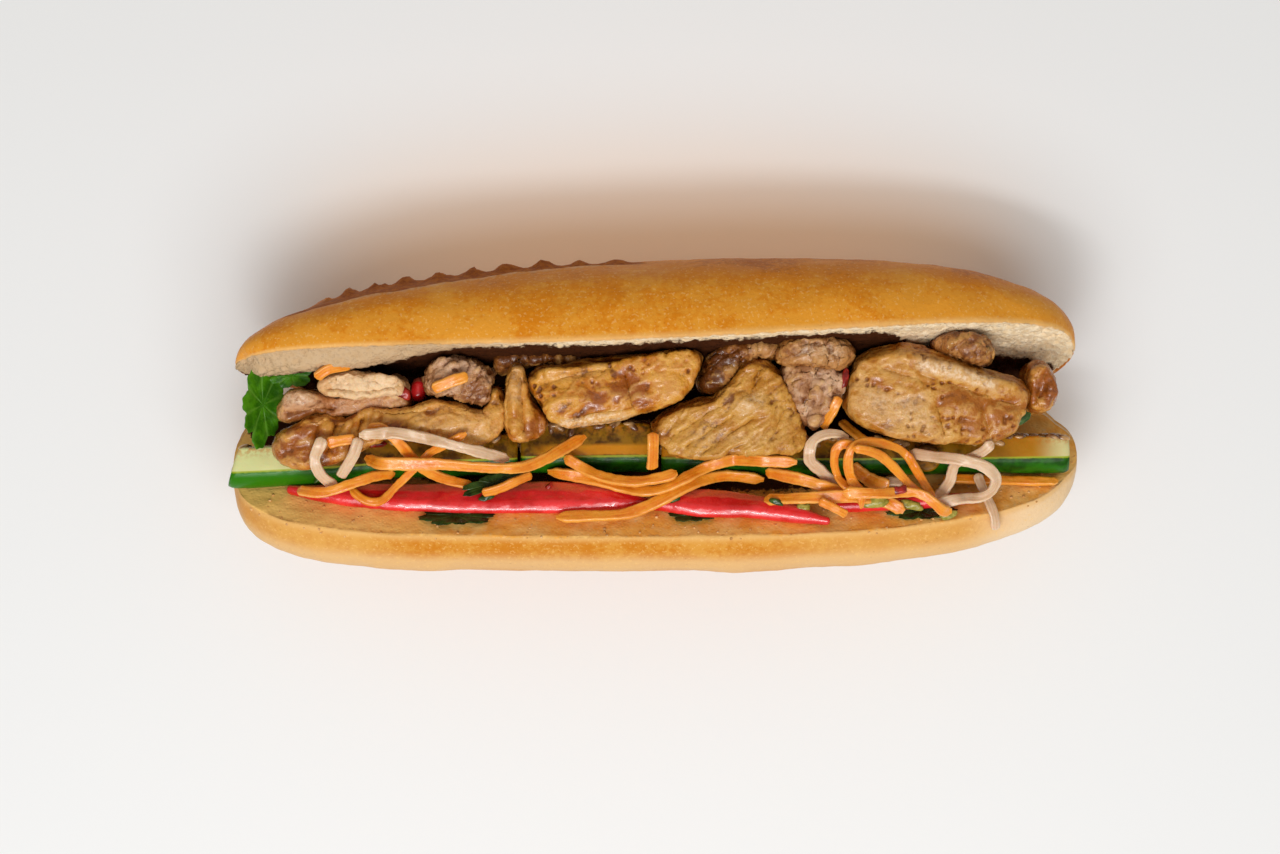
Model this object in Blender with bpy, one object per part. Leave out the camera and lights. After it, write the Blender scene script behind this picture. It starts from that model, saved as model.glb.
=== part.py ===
"""Banh mi: a crusty roll slit along one side and opened like a book, filled with
sliced chicken, cucumber spears, red pepper, shredded carrot and daikon, and coriander.

The roll lies on its hinge with the opening up. X runs along the roll, the bottom half
leans towards -Y and the top half towards +Y. All sizes below are in millimetres, and
every mesh is written in metres.
"""
import math

import bmesh
import bpy
from mathutils import Vector, noise
from mathutils.bvhtree import BVHTree

MM = 0.001

# Roll: one loaf, cut from the front almost to its back crust.
HALF_LENGTH = 110.0
BOTTOM_HALF_LENGTH = 111.5
LOAF_HALF_WIDTH = 34.5
LOAF_CENTRE = 21.5            # middle of the loaf, measured from the crease along a cut face
CREASE_Y = 7.0
CREASE_Z = 14.0
BOTTOM_LEAN = math.radians(44.0)
TOP_LEAN_LEFT = math.radians(11.0)
TOP_LEAN_GAIN = math.radians(13.5)
BOTTOM_DEPTH = 25.0
TOP_DEPTH_LEFT = 26.6
TOP_DEPTH_RIGHT = 28.4
BOTTOM_BELLY = 5.0            # how far below the cut the bottom half is widest
TOP_BELLY = 2.5
LOAF_STATIONS = 25
DOME_POINTS = 21
FACE_POINTS = 2
EAR_HEIGHT = 1.8              # raised lip of the baker's slash on the crown

# Filling
CLEARANCE = 0.5               # gap between a filling and the bread
RESTING_GAP = 0.5             # gap under a strip that lies on something
STRIP_FINE = 6                # points felt under a strip for each span of its route
STRIP_STEP = 3                # of those, every third becomes a ring of the mesh
STRIP_THICKNESS = 1.7
STRIP_SLOPE = 0.65            # steepest that a strip bends down over an edge
STRIP_ROLL = 0.6              # steepest that a strip tips to one side
SPEAR_LIFT = 8.0              # middle of a cucumber spear above the bottom cut face
LEAF_THICKNESS = 0.5

resting_surfaces = []


def clear_scene():
    for item in list(bpy.data.objects):
        bpy.data.objects.remove(item, do_unlink=True)


def make_material(name, colour, roughness):
    material = bpy.data.materials.new(name)
    material.use_nodes = True
    shader = material.node_tree.nodes["Principled BSDF"]
    shader.inputs["Base Color"].default_value = (*colour, 1.0)
    shader.inputs["Roughness"].default_value = roughness
    shader.inputs["Metallic"].default_value = 0.0
    return material


def make_solid(name, points, faces, material, smooth=True):
    """A closed mesh from points in millimetres, with its faces turned outwards."""
    mesh = bpy.data.meshes.new(name)
    mesh.from_pydata([Vector(point) * MM for point in points], [], faces)
    shape = bmesh.new()
    shape.from_mesh(mesh)
    bmesh.ops.recalc_face_normals(shape, faces=shape.faces)
    shape.to_mesh(mesh)
    shape.free()
    mesh.materials.append(material)
    solid = bpy.data.objects.new(name, mesh)
    bpy.context.scene.collection.objects.link(solid)
    if smooth:
        mesh.shade_smooth()
        mesh.set_sharp_from_angle(angle=math.radians(40.0))
    resting_surfaces.append(BVHTree.FromPolygons([Vector(point) for point in points], faces))
    return solid


def join_rings(rings):
    """Faces between neighbouring rings, with a cap on each end. A ring of one point is a pole."""
    points = []
    starts = []
    for ring in rings:
        starts.append(len(points))
        points.extend(ring)
    faces = []
    for (low, below), (high, above) in zip(zip(starts, rings), zip(starts[1:], rings[1:])):
        count = max(len(below), len(above))
        for i in range(count):
            j = (i + 1) % count
            if len(below) == 1:
                faces.append((low, high + j, high + i))
            elif len(above) == 1:
                faces.append((low + i, low + j, high))
            else:
                faces.append((low + i, low + j, high + j, high + i))
    if len(rings[0]) > 1:
        faces.append(tuple(reversed(range(len(rings[0])))))
    if len(rings[-1]) > 1:
        faces.append(tuple(starts[-1] + i for i in range(len(rings[-1]))))
    return points, faces


def signed_power(value, power):
    return math.copysign(abs(value) ** power, value)


def smooth_step(value):
    value = min(max(value, 0.0), 1.0)
    return value * value * (3.0 - 2.0 * value)


def follow(rows, x):
    """Values at x on a smooth curve through rows of (x, value, ...)."""
    for k in range(len(rows) - 1):
        if x <= rows[k + 1][0] or k == len(rows) - 2:
            break
    before = rows[max(k - 1, 0)]
    start, end = rows[k], rows[k + 1]
    after = rows[min(k + 2, len(rows) - 1)]
    width = end[0] - start[0]
    s = min(max((x - start[0]) / width, 0.0), 1.0)
    values = []
    for p0, p1, p2, p3 in zip(before[1:], start[1:], end[1:], after[1:]):
        m1 = (p2 - p0) / (end[0] - before[0]) * width
        m2 = (p3 - p1) / (after[0] - start[0]) * width
        values.append((2 * s**3 - 3 * s**2 + 1) * p1 + (s**3 - 2 * s**2 + s) * m1
                      + (3 * s**2 - 2 * s**3) * p2 + (s**3 - s**2) * m2)
    return values


def curve_through(route, per_span):
    """Points on a Catmull-Rom curve through a route of flat points."""
    ends = [Vector(route[0]) * 2 - Vector(route[1]), Vector(route[-1]) * 2 - Vector(route[-2])]
    knots = [ends[0]] + [Vector(point) for point in route] + [ends[1]]
    path = []
    for k in range(1, len(knots) - 2):
        p0, p1, p2, p3 = knots[k - 1:k + 3]
        for i in range(per_span):
            s = i / per_span
            path.append(0.5 * (2 * p1 + (p2 - p0) * s + (2 * p0 - 5 * p1 + 4 * p2 - p3) * s**2
                               + (3 * p1 - p0 - 3 * p2 + p3) * s**3))
    path.append(knots[-2])
    return path


# --- Roll -------------------------------------------------------------------------------

def top_lean(x):
    """How far the top half leans back from upright. It opens further at the right end."""
    return TOP_LEAN_LEFT + TOP_LEAN_GAIN * max((x / HALF_LENGTH + 1.0) / 2.0, 0.0) ** 3.0


def bottom_face_height(y):
    """Height of the bottom half's cut face."""
    return CREASE_Z + (CREASE_Y - y) / math.tan(BOTTOM_LEAN)


def loaf_plan(t):
    """Middle and half width of the loaf along the cut face at t, from -1 to 1."""
    end_power = 4.0 if t < 0.0 else 2.4
    shift = 6.0 if t < 0.0 else 2.0
    half_width = LOAF_HALF_WIDTH * (1.0 - abs(t) ** end_power) ** 0.38
    return LOAF_CENTRE + shift * t**4, half_width


def bottom_depth(t):
    if t < 0.0:
        return BOTTOM_DEPTH * (1.0 - abs(t) ** 5.0) ** 0.25
    return BOTTOM_DEPTH * (1.0 - t**3.0) ** 0.35


def top_depth(t):
    middle = TOP_DEPTH_LEFT + (TOP_DEPTH_RIGHT - TOP_DEPTH_LEFT) * smooth_step(t + 0.6)
    if t < 0.0:
        return middle * (1.0 - abs(t) ** 2.6) ** 0.5
    return middle * (1.0 - t**2.9) ** 0.45


def ear(t, turn):
    """The slash leaves a raised lip along the crown of the left half."""
    along = smooth_step((t + 0.80) / 0.12) * smooth_step((-0.10 - t) / 0.15)
    return EAR_HEIGHT * along * math.exp(-((turn - math.radians(80.0)) / 0.13) ** 2)


def half_section(t, depth, belly, roundness, lip):
    """Outline of half a loaf: from the front rim round the crust to the back, then the face."""
    centre, half_width = loaf_plan(t)
    belly = min(belly, 0.42 * depth)
    height = depth - belly
    rim_turn = math.asin(min((belly / height) ** (roundness / 2.0), 1.0))
    outline = []
    for i in range(DOME_POINTS):
        turn = -rim_turn + (math.pi + 2.0 * rim_turn) * i / (DOME_POINTS - 1)
        along = centre + half_width * signed_power(math.cos(turn), 2.0 / roundness)
        out = belly + height * signed_power(math.sin(turn), 2.0 / roundness) + lip(t, turn)
        outline.append((along, max(out, 0.0)))
    back, front = outline[-1][0], outline[0][0]
    for i in range(1, FACE_POINTS + 1):
        outline.append((back + (front - back) * i / (FACE_POINTS + 1), 0.0))
    return outline


def half_loaf(name, half_length, depth_at, belly, roundness, lip, place, material):
    rings = []
    for i in range(LOAF_STATIONS):
        t = math.sin(math.pi / 2.0 * (2.0 * i / (LOAF_STATIONS - 1) - 1.0))
        t = min(max(t, -0.9992), 0.9992)
        section = half_section(t, depth_at(t), belly, roundness, lip)
        rings.append([place(half_length * t, along, out) for along, out in section])
    for end in (0, -1):
        middle = sum((Vector(point) for point in rings[end]), Vector()) / len(rings[end])
        rings.insert(0 if end == 0 else len(rings), [tuple(middle)])
    points, faces = join_rings(rings)
    return make_solid(name, points, faces, material)


def place_bottom(x, along, out):
    sine, cosine = math.sin(BOTTOM_LEAN), math.cos(BOTTOM_LEAN)
    return (x, CREASE_Y - along * sine - out * cosine, CREASE_Z + along * cosine - out * sine)


def place_top(x, along, out):
    lean = top_lean(x)
    sine, cosine = math.sin(lean), math.cos(lean)
    return (x, CREASE_Y + along * sine + out * cosine, CREASE_Z + along * cosine - out * sine)


def hide_tool(tool):
    tool.hide_render = True
    tool.display_type = "WIRE"


def make_roll():
    """Both halves are one bread: joined at the hinge, and flat where the roll rests."""
    crust = make_material("baked crust", (0.72, 0.40, 0.12), 0.45)
    roll = half_loaf("bread_roll", BOTTOM_HALF_LENGTH, bottom_depth, BOTTOM_BELLY, 2.5,
                     lambda t, turn: 0.0, place_bottom, crust)
    top = half_loaf("top_half_tool", HALF_LENGTH, top_depth, TOP_BELLY, 2.2, ear, place_top,
                    crust)
    hide_tool(top)
    reach = 2.0 * HALF_LENGTH
    corners = [(x, y, z) for z in (-reach, 0.0) for x, y in
               ((-reach, -reach), (reach, -reach), (reach, reach), (-reach, reach))]
    floor_points, floor_faces = join_rings([corners[:4], corners[4:]])
    floor = make_solid("floor_tool", floor_points, floor_faces, crust, smooth=False)
    resting_surfaces.pop()
    hide_tool(floor)
    for label, operation, tool in (("hinge", "UNION", top), ("rest face", "DIFFERENCE", floor)):
        cut = roll.modifiers.new(label, "BOOLEAN")
        cut.operation = operation
        cut.solver = "EXACT"
        cut.object = tool


# --- Chicken ----------------------------------------------------------------------------

END_BLUNTNESS = 14            # how square the ends of a piece of meat are


def inside_opening(x, y, z):
    """Keeps a filling's point between the two cut faces."""
    low = CREASE_Y - (z - CREASE_Z) * math.tan(BOTTOM_LEAN) + CLEARANCE / math.cos(BOTTOM_LEAN)
    lean = top_lean(x)
    high = CREASE_Y + (z - CREASE_Z) * math.tan(lean) - CLEARANCE / math.cos(lean)
    return (x, min(max(y, low), high), z)


def make_slice(name, rows, front_depth, back_depth, material, stations=10, around=10,
               boxiness=3.4, bump=0.8):
    """A chunk of meat. rows are (x, front y, back y, top z); it hangs deeper at its back."""
    first, last = rows[0][0], rows[-1][0]
    seed = Vector((first, last, rows[0][3]))
    rings = []
    for i in range(stations):
        s = (1.0 - math.cos(math.pi * i / (stations - 1))) / 2.0
        x = first + (last - first) * s
        front, back, top = follow(rows, x)
        middle, half = (front + back) / 2.0, (back - front) / 2.0
        fullness = max(1.0 - abs(2.0 * s - 1.0) ** END_BLUNTNESS, 0.0) ** 0.5
        if fullness < 0.01:
            rings.append([inside_opening(x, middle, top - front_depth / 2.0)])
            continue
        ring = []
        for k in range(around):
            turn = 2.0 * math.pi * (k + 0.5) / around
            across = signed_power(math.cos(turn), 2.0 / boxiness)
            up = signed_power(math.sin(turn), 2.0 / boxiness)
            deepening = smooth_step(((across + 1.0) / 2.0 - 0.45) / 0.55)
            depth = front_depth + (back_depth - front_depth) * deepening
            y = middle + half * across * fullness
            z = top - depth / 2.0 * (1.0 - up * fullness)
            if up > 0.0:
                z += bump * up * noise.noise(Vector((x, y, z)) * 0.18 + seed)
            ring.append(inside_opening(x, y, z))
        rings.append(ring)
    points, faces = join_rings(rings)
    return make_solid(name, points, faces, material)


def make_chicken():
    skin = make_material("roast chicken skin", (0.60, 0.36, 0.13), 0.35)
    meat = make_material("chicken meat", (0.62, 0.42, 0.24), 0.5)
    dark = make_material("dark chicken meat", (0.42, 0.27, 0.19), 0.5)
    breast = make_material("chicken breast", (0.83, 0.69, 0.52), 0.5)

    make_slice("chicken_skin_slice", [
        (-98.6, -12.2, -3.6, 58.0), (-93.0, -13.4, -2.6, 60.0), (-87.4, -12.7, 0.0, 60.5),
        (-80.2, -10.9, -1.8, 60.0), (-75.8, -7.8, 1.3, 60.5), (-69.9, -5.7, 0.9, 60.5),
        (-64.7, -4.9, 0.6, 60.5), (-59.6, -5.1, 2.7, 61.0), (-55.2, -5.7, 4.0, 61.5),
        (-49.3, -6.7, 1.7, 61.0), (-43.6, -7.3, 1.0, 60.5), (-41.2, -6.6, 9.0, 60.0),
        (-39.2, -4.5, 6.5, 59.0)], 9.0, 22.0, skin, stations=17)
    make_slice("chicken_end_meat", [
        (-97.6, -1.8, 3.0, 58.0), (-95.2, -1.7, 6.0, 60.0), (-92.5, -1.0, 6.6, 61.0),
        (-87.9, 1.3, 5.4, 59.0), (-84.5, 0.2, 4.1, 58.5), (-78.9, 0.6, 4.1, 58.5),
        (-71.2, 2.5, 4.9, 58.5), (-63.9, 1.9, 4.6, 58.0)], 14.0, 36.0, meat, stations=12)
    make_slice("chicken_breast_slice", [
        (-86.9, 5.9, 8.1, 60.0), (-84.0, 4.9, 10.1, 62.0), (-77.6, 5.0, 10.5, 63.0),
        (-71.7, 5.7, 9.7, 62.5), (-64.9, 5.4, 9.0, 61.0)], 12.0, 20.0, breast)
    make_slice("chicken_dark_lump", [
        (-59.7, 4.6, 12.6, 61.0), (-55.7, 5.8, 14.7, 63.5), (-51.8, 5.0, 14.9, 64.0),
        (-48.0, 3.4, 14.4, 63.0), (-43.7, 3.2, 12.2, 61.0), (-42.6, 9.8, 12.4, 60.0)],
        16.0, 36.0, dark)
    make_slice("chicken_back_strip", [
        (-41.5, 11.3, 15.6, 55.0), (-36.0, 14.3, 16.6, 55.5), (-28.0, 14.2, 16.9, 55.5),
        (-16.0, 15.2, 17.2, 55.0)], 14.0, 20.0, dark, stations=9)
    make_slice("chicken_folded_skin", [
        (-38.4, -5.6, 10.6, 59.0), (-36.7, -6.7, 13.2, 61.0), (-34.7, -6.5, 12.6, 60.5),
        (-33.3, -6.0, 4.4, 59.0), (-30.8, -5.3, 1.2, 58.5), (-28.9, -3.4, -0.8, 57.0)],
        10.0, 28.0, skin, stations=11)
    make_slice("chicken_golden_slice", [
        (-32.4, 5.6, 12.6, 60.0), (-28.7, 1.9, 12.8, 62.0), (-26.6, -1.5, 12.9, 62.5),
        (-24.3, -2.9, 13.0, 62.5), (-18.4, -2.1, 13.9, 62.5), (-13.2, -1.3, 14.3, 62.5),
        (-8.1, -0.3, 15.6, 63.0), (-1.6, 1.5, 16.6, 63.5), (3.5, 3.0, 17.4, 64.0),
        (8.2, 6.4, 17.8, 64.0), (11.4, 12.0, 17.6, 63.0)], 15.0, 38.0, skin, stations=14)
    make_slice("chicken_striated_slice", [
        (-0.7, -3.8, -1.8, 57.0), (2.2, -8.3, 0.2, 58.5), (6.1, -10.7, 2.3, 59.5),
        (11.3, -10.9, 3.8, 60.5), (16.4, -10.4, 5.1, 61.5), (19.7, -9.8, 10.1, 62.0),
        (22.8, -9.6, 14.4, 62.0), (28.0, -9.6, 14.9, 61.5), (31.9, -9.6, 10.6, 61.0),
        (34.4, -9.8, 6.4, 60.0), (36.5, -9.6, 0.4, 59.0), (38.8, -7.8, -5.2, 57.5)],
        10.5, 34.0, meat, stations=15)
    make_slice("chicken_fibrous_lump", [
        (12.5, 6.4, 8.6, 56.0), (14.3, 6.9, 13.9, 58.0), (16.9, 8.6, 17.0, 59.0),
        (20.3, 13.3, 18.4, 60.0), (24.1, 16.1, 18.6, 60.0), (30.4, 16.1, 18.4, 59.0)],
        14.0, 28.0, dark, stations=10)
    make_slice("chicken_back_upper", [
        (31.4, 14.9, 17.7, 59.0), (34.4, 14.3, 18.9, 61.0), (39.6, 13.9, 19.3, 62.0),
        (44.7, 13.4, 19.4, 62.0), (48.3, 13.5, 18.6, 60.5), (49.8, 15.2, 17.2, 59.0)],
        14.0, 30.0, dark)
    make_slice("chicken_back_lower", [
        (33.9, 10.2, 13.0, 58.0), (36.4, 3.9, 13.1, 59.0), (39.4, -1.7, 13.1, 59.5),
        (41.6, -2.6, 12.6, 59.5), (44.2, 2.6, 12.3, 59.5), (46.3, 3.9, 11.3, 59.0),
        (47.7, 6.9, 9.9, 58.0)], 12.0, 36.0, meat, stations=11)
    make_slice("chicken_large_slice", [
        (48.6, 1.0, 5.0, 59.0), (49.9, -0.6, 10.4, 61.5), (51.9, -1.9, 14.5, 63.0),
        (55.0, -3.4, 16.5, 63.5), (58.9, -4.9, 17.5, 64.0), (64.0, -6.2, 18.4, 64.5),
        (69.2, -6.7, 17.6, 64.5), (74.3, -7.3, 15.9, 64.0), (79.5, -6.5, 13.9, 63.0),
        (83.4, -7.8, 12.4, 62.0), (87.2, -6.0, 10.8, 61.5), (91.6, -4.9, 10.0, 61.0),
        (94.7, -0.5, 9.5, 60.5), (96.2, 4.0, 8.7, 59.0)], 17.0, 40.0, skin, stations=17)
    make_slice("chicken_tip_slice", [
        (96.9, 1.4, 12.2, 54.0), (99.3, 0.7, 13.3, 56.5), (101.4, 1.8, 12.3, 56.5),
        (103.6, 4.0, 7.0, 55.0)], 16.0, 34.0, skin, stations=9)
    make_slice("chicken_lip_lump", [
        (72.5, 17.6, 19.4, 57.0), (76.9, 16.5, 19.9, 59.5), (81.3, 14.9, 19.7, 60.0),
        (85.6, 13.6, 18.4, 58.0)], 8.0, 9.0, dark, stations=9)


# --- Cucumber ---------------------------------------------------------------------------

SPEAR_SECTION = ((1.0, 4.4), (-1.2, 5.0), (-3.8, 3.6), (-5.2, 1.0), (-4.9, -2.0),
                 (-2.4, -4.9), (1.2, -6.0), (1.0, -3.6))


def make_spear(name, route, inner, slant, material, stations=12):
    """A wedge cut along a cucumber, skin towards -Y. route is (x, middle y) of its length."""
    first, last = route[0][0], route[-1][0]
    rings = []
    for i in range(stations):
        x = first + (last - first) * i / (stations - 1)
        middle = follow(route, x)[0]
        height = bottom_face_height(middle) + SPEAR_LIFT
        ring = []
        for k, (across, up) in enumerate(SPEAR_SECTION):
            if k in (0, len(SPEAR_SECTION) - 1):
                across = inner
            lean = slant * across if i == 0 else 0.0
            ring.append((x + lean, middle + across, height + up))
        rings.append(ring)
    points, faces = join_rings(rings)
    return make_solid(name, points, faces, material)


def make_disc(name, centre, radius, thickness, material, around=18):
    rings = []
    for level, width in ((0.0, 0.86), (0.3, 1.0), (0.7, 1.0), (1.0, 0.86)):
        rings.append([(centre[0] + radius * width * math.cos(2.0 * math.pi * i / around),
                       centre[1] + radius * width * math.sin(2.0 * math.pi * i / around),
                       centre[2] + thickness * level) for i in range(around)])
    points, faces = join_rings(rings)
    return make_solid(name, points, faces, material)


def make_cucumber():
    flesh = make_material("cucumber", (0.55, 0.56, 0.16), 0.35)
    make_spear("cucumber_spear_left", [(-110.4, -14.0), (-88.0, -12.8), (-70.0, -11.5),
                                       (-50.0, -10.8), (-36.3, -10.4)], 5.2, 0.25, flesh)
    make_spear("cucumber_spear_middle", [(-35.3, -10.0), (-18.0, -9.8), (-1.1, -9.6)], 7.4, 0.0,
               flesh, stations=8)
    make_spear("cucumber_spear_right", [(1.4, -10.2), (50.0, -10.5), (108.2, -9.9)], 4.4, 0.0,
               flesh, stations=14)
    make_disc("cucumber_round_slice", (70.5, -11.2, 46.6), 3.7, 1.2, flesh)


# --- Red pepper -------------------------------------------------------------------------

def make_pepper_strip(name, rows, material, stations=12):
    """A strip of pepper wall lying on the bottom cut face. rows are (x, middle, width)
    measured up the face; its outer skin is slightly domed."""
    first, last = rows[0][0], rows[-1][0]
    section = ((-0.5, 0.2), (-0.36, 0.8), (0.0, 1.0), (0.36, 0.8), (0.5, 0.2), (0.3, -0.3),
               (-0.3, -0.3))
    rings = []
    for i in range(stations):
        s = i / (stations - 1)
        x = first + (last - first) * s
        middle, width = follow(rows, x)
        thickness = 2.6 * min(1.0, 0.35 + width / 9.0)
        rings.append([place_bottom(x, middle + width * across, -1.9 - thickness * (up - 0.1))
                      for across, up in section])
    points, faces = join_rings(rings)
    return make_solid(name, points, faces, material)


def make_pepper():
    pepper = make_material("red pepper", (0.62, 0.03, 0.03), 0.25)
    make_pepper_strip("pepper_strip_left", [
        (-96.0, 40.4, 1.0), (-84.0, 42.4, 5.0), (-66.0, 43.4, 8.4), (-45.0, 43.6, 9.6),
        (-25.0, 43.4, 9.6), (-9.0, 43.8, 6.4), (-2.0, 45.2, 0.8)], pepper)
    make_pepper_strip("pepper_strip_middle", [
        (-0.8, 45.2, 3.4), (10.0, 45.4, 8.4), (24.0, 46.6, 6.8), (36.0, 49.4, 4.4),
        (44.6, 52.0, 0.8)], pepper, stations=9)
    make_pepper_strip("pepper_strip_right", [
        (47.5, 46.2, 2.6), (64.0, 45.2, 3.4), (84.0, 43.4, 2.0)], pepper, stations=8)
    make_slice("pepper_piece_inner", [
        (-63.3, 4.4, 8.4, 50.0), (-61.8, 3.6, 9.4, 51.0), (-60.2, 4.8, 8.6, 50.0)],
        6.0, 9.0, pepper, stations=6, around=8, bump=0.2)


# --- Carrot and daikon shreds -----------------------------------------------------------

def height_below(x, y):
    """Height of whatever is already there under a point, seen from above."""
    highest = 0.0
    for surface in resting_surfaces:
        hit = surface.ray_cast(Vector((x, y, 200.0)), Vector((0.0, 0.0, -1.0)))[0]
        if hit and hit.z > highest:
            highest = hit.z
    return highest


def make_strip(name, route, width, material, thickness=STRIP_THICKNESS):
    """A flat shred lying over whatever is under its route, bent no steeper than it would sag."""
    path = curve_through(route, STRIP_FINE)
    count = len(path)
    sides = []
    lengths = [0.0]
    for i in range(count):
        run = path[min(i + 1, count - 1)] - path[max(i - 1, 0)]
        sides.append(Vector((-run.y, run.x)).normalized())
        if i:
            lengths.append(lengths[-1] + (path[i] - path[i - 1]).length)
    offsets = [width * share for share in (-0.65, -0.45, -0.22, 0.0, 0.22, 0.45, 0.65)]
    heights = [[height_below(*(point + side * offset)) for offset in offsets]
               for point, side in zip(path, sides)]
    rolls = [min(max((near[-2] - near[1]) / (offsets[-2] - offsets[1]), -STRIP_ROLL), STRIP_ROLL)
             for near in heights]
    for _ in range(2 * STRIP_STEP):
        rolls = [(rolls[max(i - 1, 0)] + rolls[i] + rolls[min(i + 1, count - 1)]) / 3.0
                 for i in range(count)]
    floor = [max(high - roll * offset for high, offset in zip(near, offsets))
             for near, roll in zip(heights, rolls)]
    bed = [max(floor[j] - STRIP_SLOPE * abs(lengths[i] - lengths[j]) for j in range(count))
           for i in range(count)]
    rings = []
    for i in range(0, count, STRIP_STEP):
        under = max(bed[max(i - STRIP_STEP, 0):i + STRIP_STEP + 1])
        level = under + RESTING_GAP + thickness / 2.0 * math.sqrt(1.0 + rolls[i] ** 2)
        across = Vector((sides[i].x, sides[i].y, rolls[i])).normalized() * width / 2.0
        middle = Vector((path[i].x, path[i].y, level))
        lift = Vector((0.0, 0.0, thickness / 2.0))
        rings.append([tuple(middle + across + lift), tuple(middle - across + lift),
                      tuple(middle - across - lift), tuple(middle + across - lift)])
    points, faces = join_rings(rings)
    return make_solid(name, points, faces, material, smooth=False)


CARROT_BEDDED = (
    ("carrot_low_right", 2.4, ((75.0, -16.6), (85.4, -16.9), (94.5, -17.2), (105.4, -17.4))),
    ("carrot_short_upright", 3.1, ((-0.8, -4.6), (-0.9, -10.0), (-1.1, -14.0))),
    ("carrot_bend_upper", 2.5, ((47.0, 4.6), (45.2, 0.6), (42.9, -3.4))),
    ("carrot_bend_lower", 2.5, ((48.4, -1.6), (51.2, -4.2), (54.8, -7.0))),
    ("carrot_left_stub", 2.8, ((-84.5, -7.3), (-80.8, -6.5), (-77.2, -6.2))),
    ("carrot_on_rim", 2.9, ((-26.0, -26.5), (-17.2, -26.2), (-8.1, -25.7), (-0.3, -22.8),
                            (6.2, -19.5), (12.6, -16.9), (19.1, -15.8), (28.2, -16.9))),
    ("carrot_under_lip", 2.8, ((-87.5, 9.5), (-83.9, 11.8), (-78.7, 13.0))),
    ("carrot_on_meat", 2.9, ((-57.2, 6.6), (-52.8, 8.4), (-48.2, 9.9))),
)
DAIKON_RIGHT = (
    ("daikon_short", 3.2, ((58.2, -18.4), (61.0, -17.4), (64.4, -17.6))),
    ("daikon_hook_right", 3.1, ((49.6, -6.8), (47.0, -5.0), (42.9, -5.2), (40.3, -7.0),
                                (39.5, -9.9), (40.0, -12.2), (42.4, -14.3), (44.9, -16.8),
                                (47.8, -18.9))),
    ("daikon_tail", 2.9, ((83.7, -15.3), (84.8, -18.7), (86.3, -22.0), (87.9, -26.2),
                          (88.4, -29.8))),
    ("daikon_diagonal", 3.0, ((86.4, -7.0), (84.1, -9.4), (80.7, -11.2), (77.2, -13.0),
                              (76.3, -16.9), (74.5, -20.0), (72.7, -21.5))),
    ("daikon_loop", 3.1, ((65.5, -9.8), (72.2, -10.9), (77.1, -11.4), (82.0, -12.4),
                          (85.1, -13.7), (87.4, -16.0), (87.4, -18.4), (85.9, -20.4),
                          (83.5, -21.5), (79.9, -21.7), (76.1, -22.2), (72.2, -22.8))),
)
CARROT_RIGHT = (
    ("carrot_wide_right", 3.9, ((50.9, -13.2), (53.5, -15.3), (56.6, -17.4), (60.5, -18.9))),
    ("carrot_wide_middle", 3.2, ((28.6, -14.8), (37.1, -16.6), (43.6, -18.6), (49.5, -20.4))),
    ("carrot_flat_long", 3.3, ((28.1, -22.0), (37.1, -21.5), (48.0, -21.0), (55.2, -21.5),
                               (60.4, -22.8), (64.3, -25.1))),
    ("carrot_flat_end", 2.5, ((41.9, -22.0), (45.0, -23.6), (49.1, -25.7))),
    ("carrot_curl_small", 2.3, ((50.8, -8.0), (48.0, -7.5), (46.2, -8.8), (45.7, -11.7),
                                (46.2, -14.2), (47.5, -17.1), (50.1, -18.9), (53.2, -19.4))),
    ("carrot_curl_large", 2.3, ((52.8, -24.0), (52.6, -19.9), (50.8, -17.6), (49.7, -15.0),
                                (49.2, -12.2), (49.5, -9.6), (50.8, -7.8), (53.6, -6.8),
                                (58.0, -7.3), (62.6, -8.8), (65.2, -10.9), (66.8, -13.5),
                                (68.6, -16.3), (70.6, -19.4), (72.2, -21.2))),
    ("carrot_bow", 2.3, ((50.2, -8.6), (53.5, -9.1), (57.2, -10.4), (60.2, -12.7),
                         (62.8, -15.3), (65.4, -18.1), (68.2, -20.2), (71.1, -22.2))),
    ("carrot_wave_right", 2.8, ((47.9, -19.9), (57.7, -20.2), (65.9, -19.9), (70.0, -21.4),
                                (73.9, -24.5), (76.5, -24.8))),
)
CARROT_LEFT = (
    ("carrot_left_slant", 2.8, ((-74.3, -3.9), (-70.9, -3.4), (-67.3, -6.0), (-64.2, -9.6),
                                (-61.1, -13.2), (-56.7, -15.8), (-52.0, -17.4),
                                (-47.4, -18.4))),
    ("carrot_vee", 2.1, ((-79.5, -18.9), (-77.0, -21.3), (-73.6, -22.6), (-70.5, -21.8),
                         (-67.4, -18.7), (-62.7, -14.3), (-58.6, -10.1), (-53.4, -7.3),
                         (-48.7, -4.7))),
)
DAIKON_LEFT = (
    ("daikon_hook_left", 3.1, ((-85.2, -6.0), (-86.5, -8.6), (-87.6, -11.1), (-87.0, -14.2),
                               (-85.2, -16.6), (-82.7, -18.4))),
    ("daikon_slant_left", 2.9, ((-76.2, -6.0), (-77.5, -10.1), (-79.8, -13.7),
                                (-81.4, -16.0))),
    ("daikon_long", 3.1, ((-75.9, -5.2), (-69.9, -4.7), (-65.0, -4.9), (-58.3, -6.2),
                          (-53.2, -7.5), (-46.2, -9.3), (-38.0, -11.4))),
)
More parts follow.
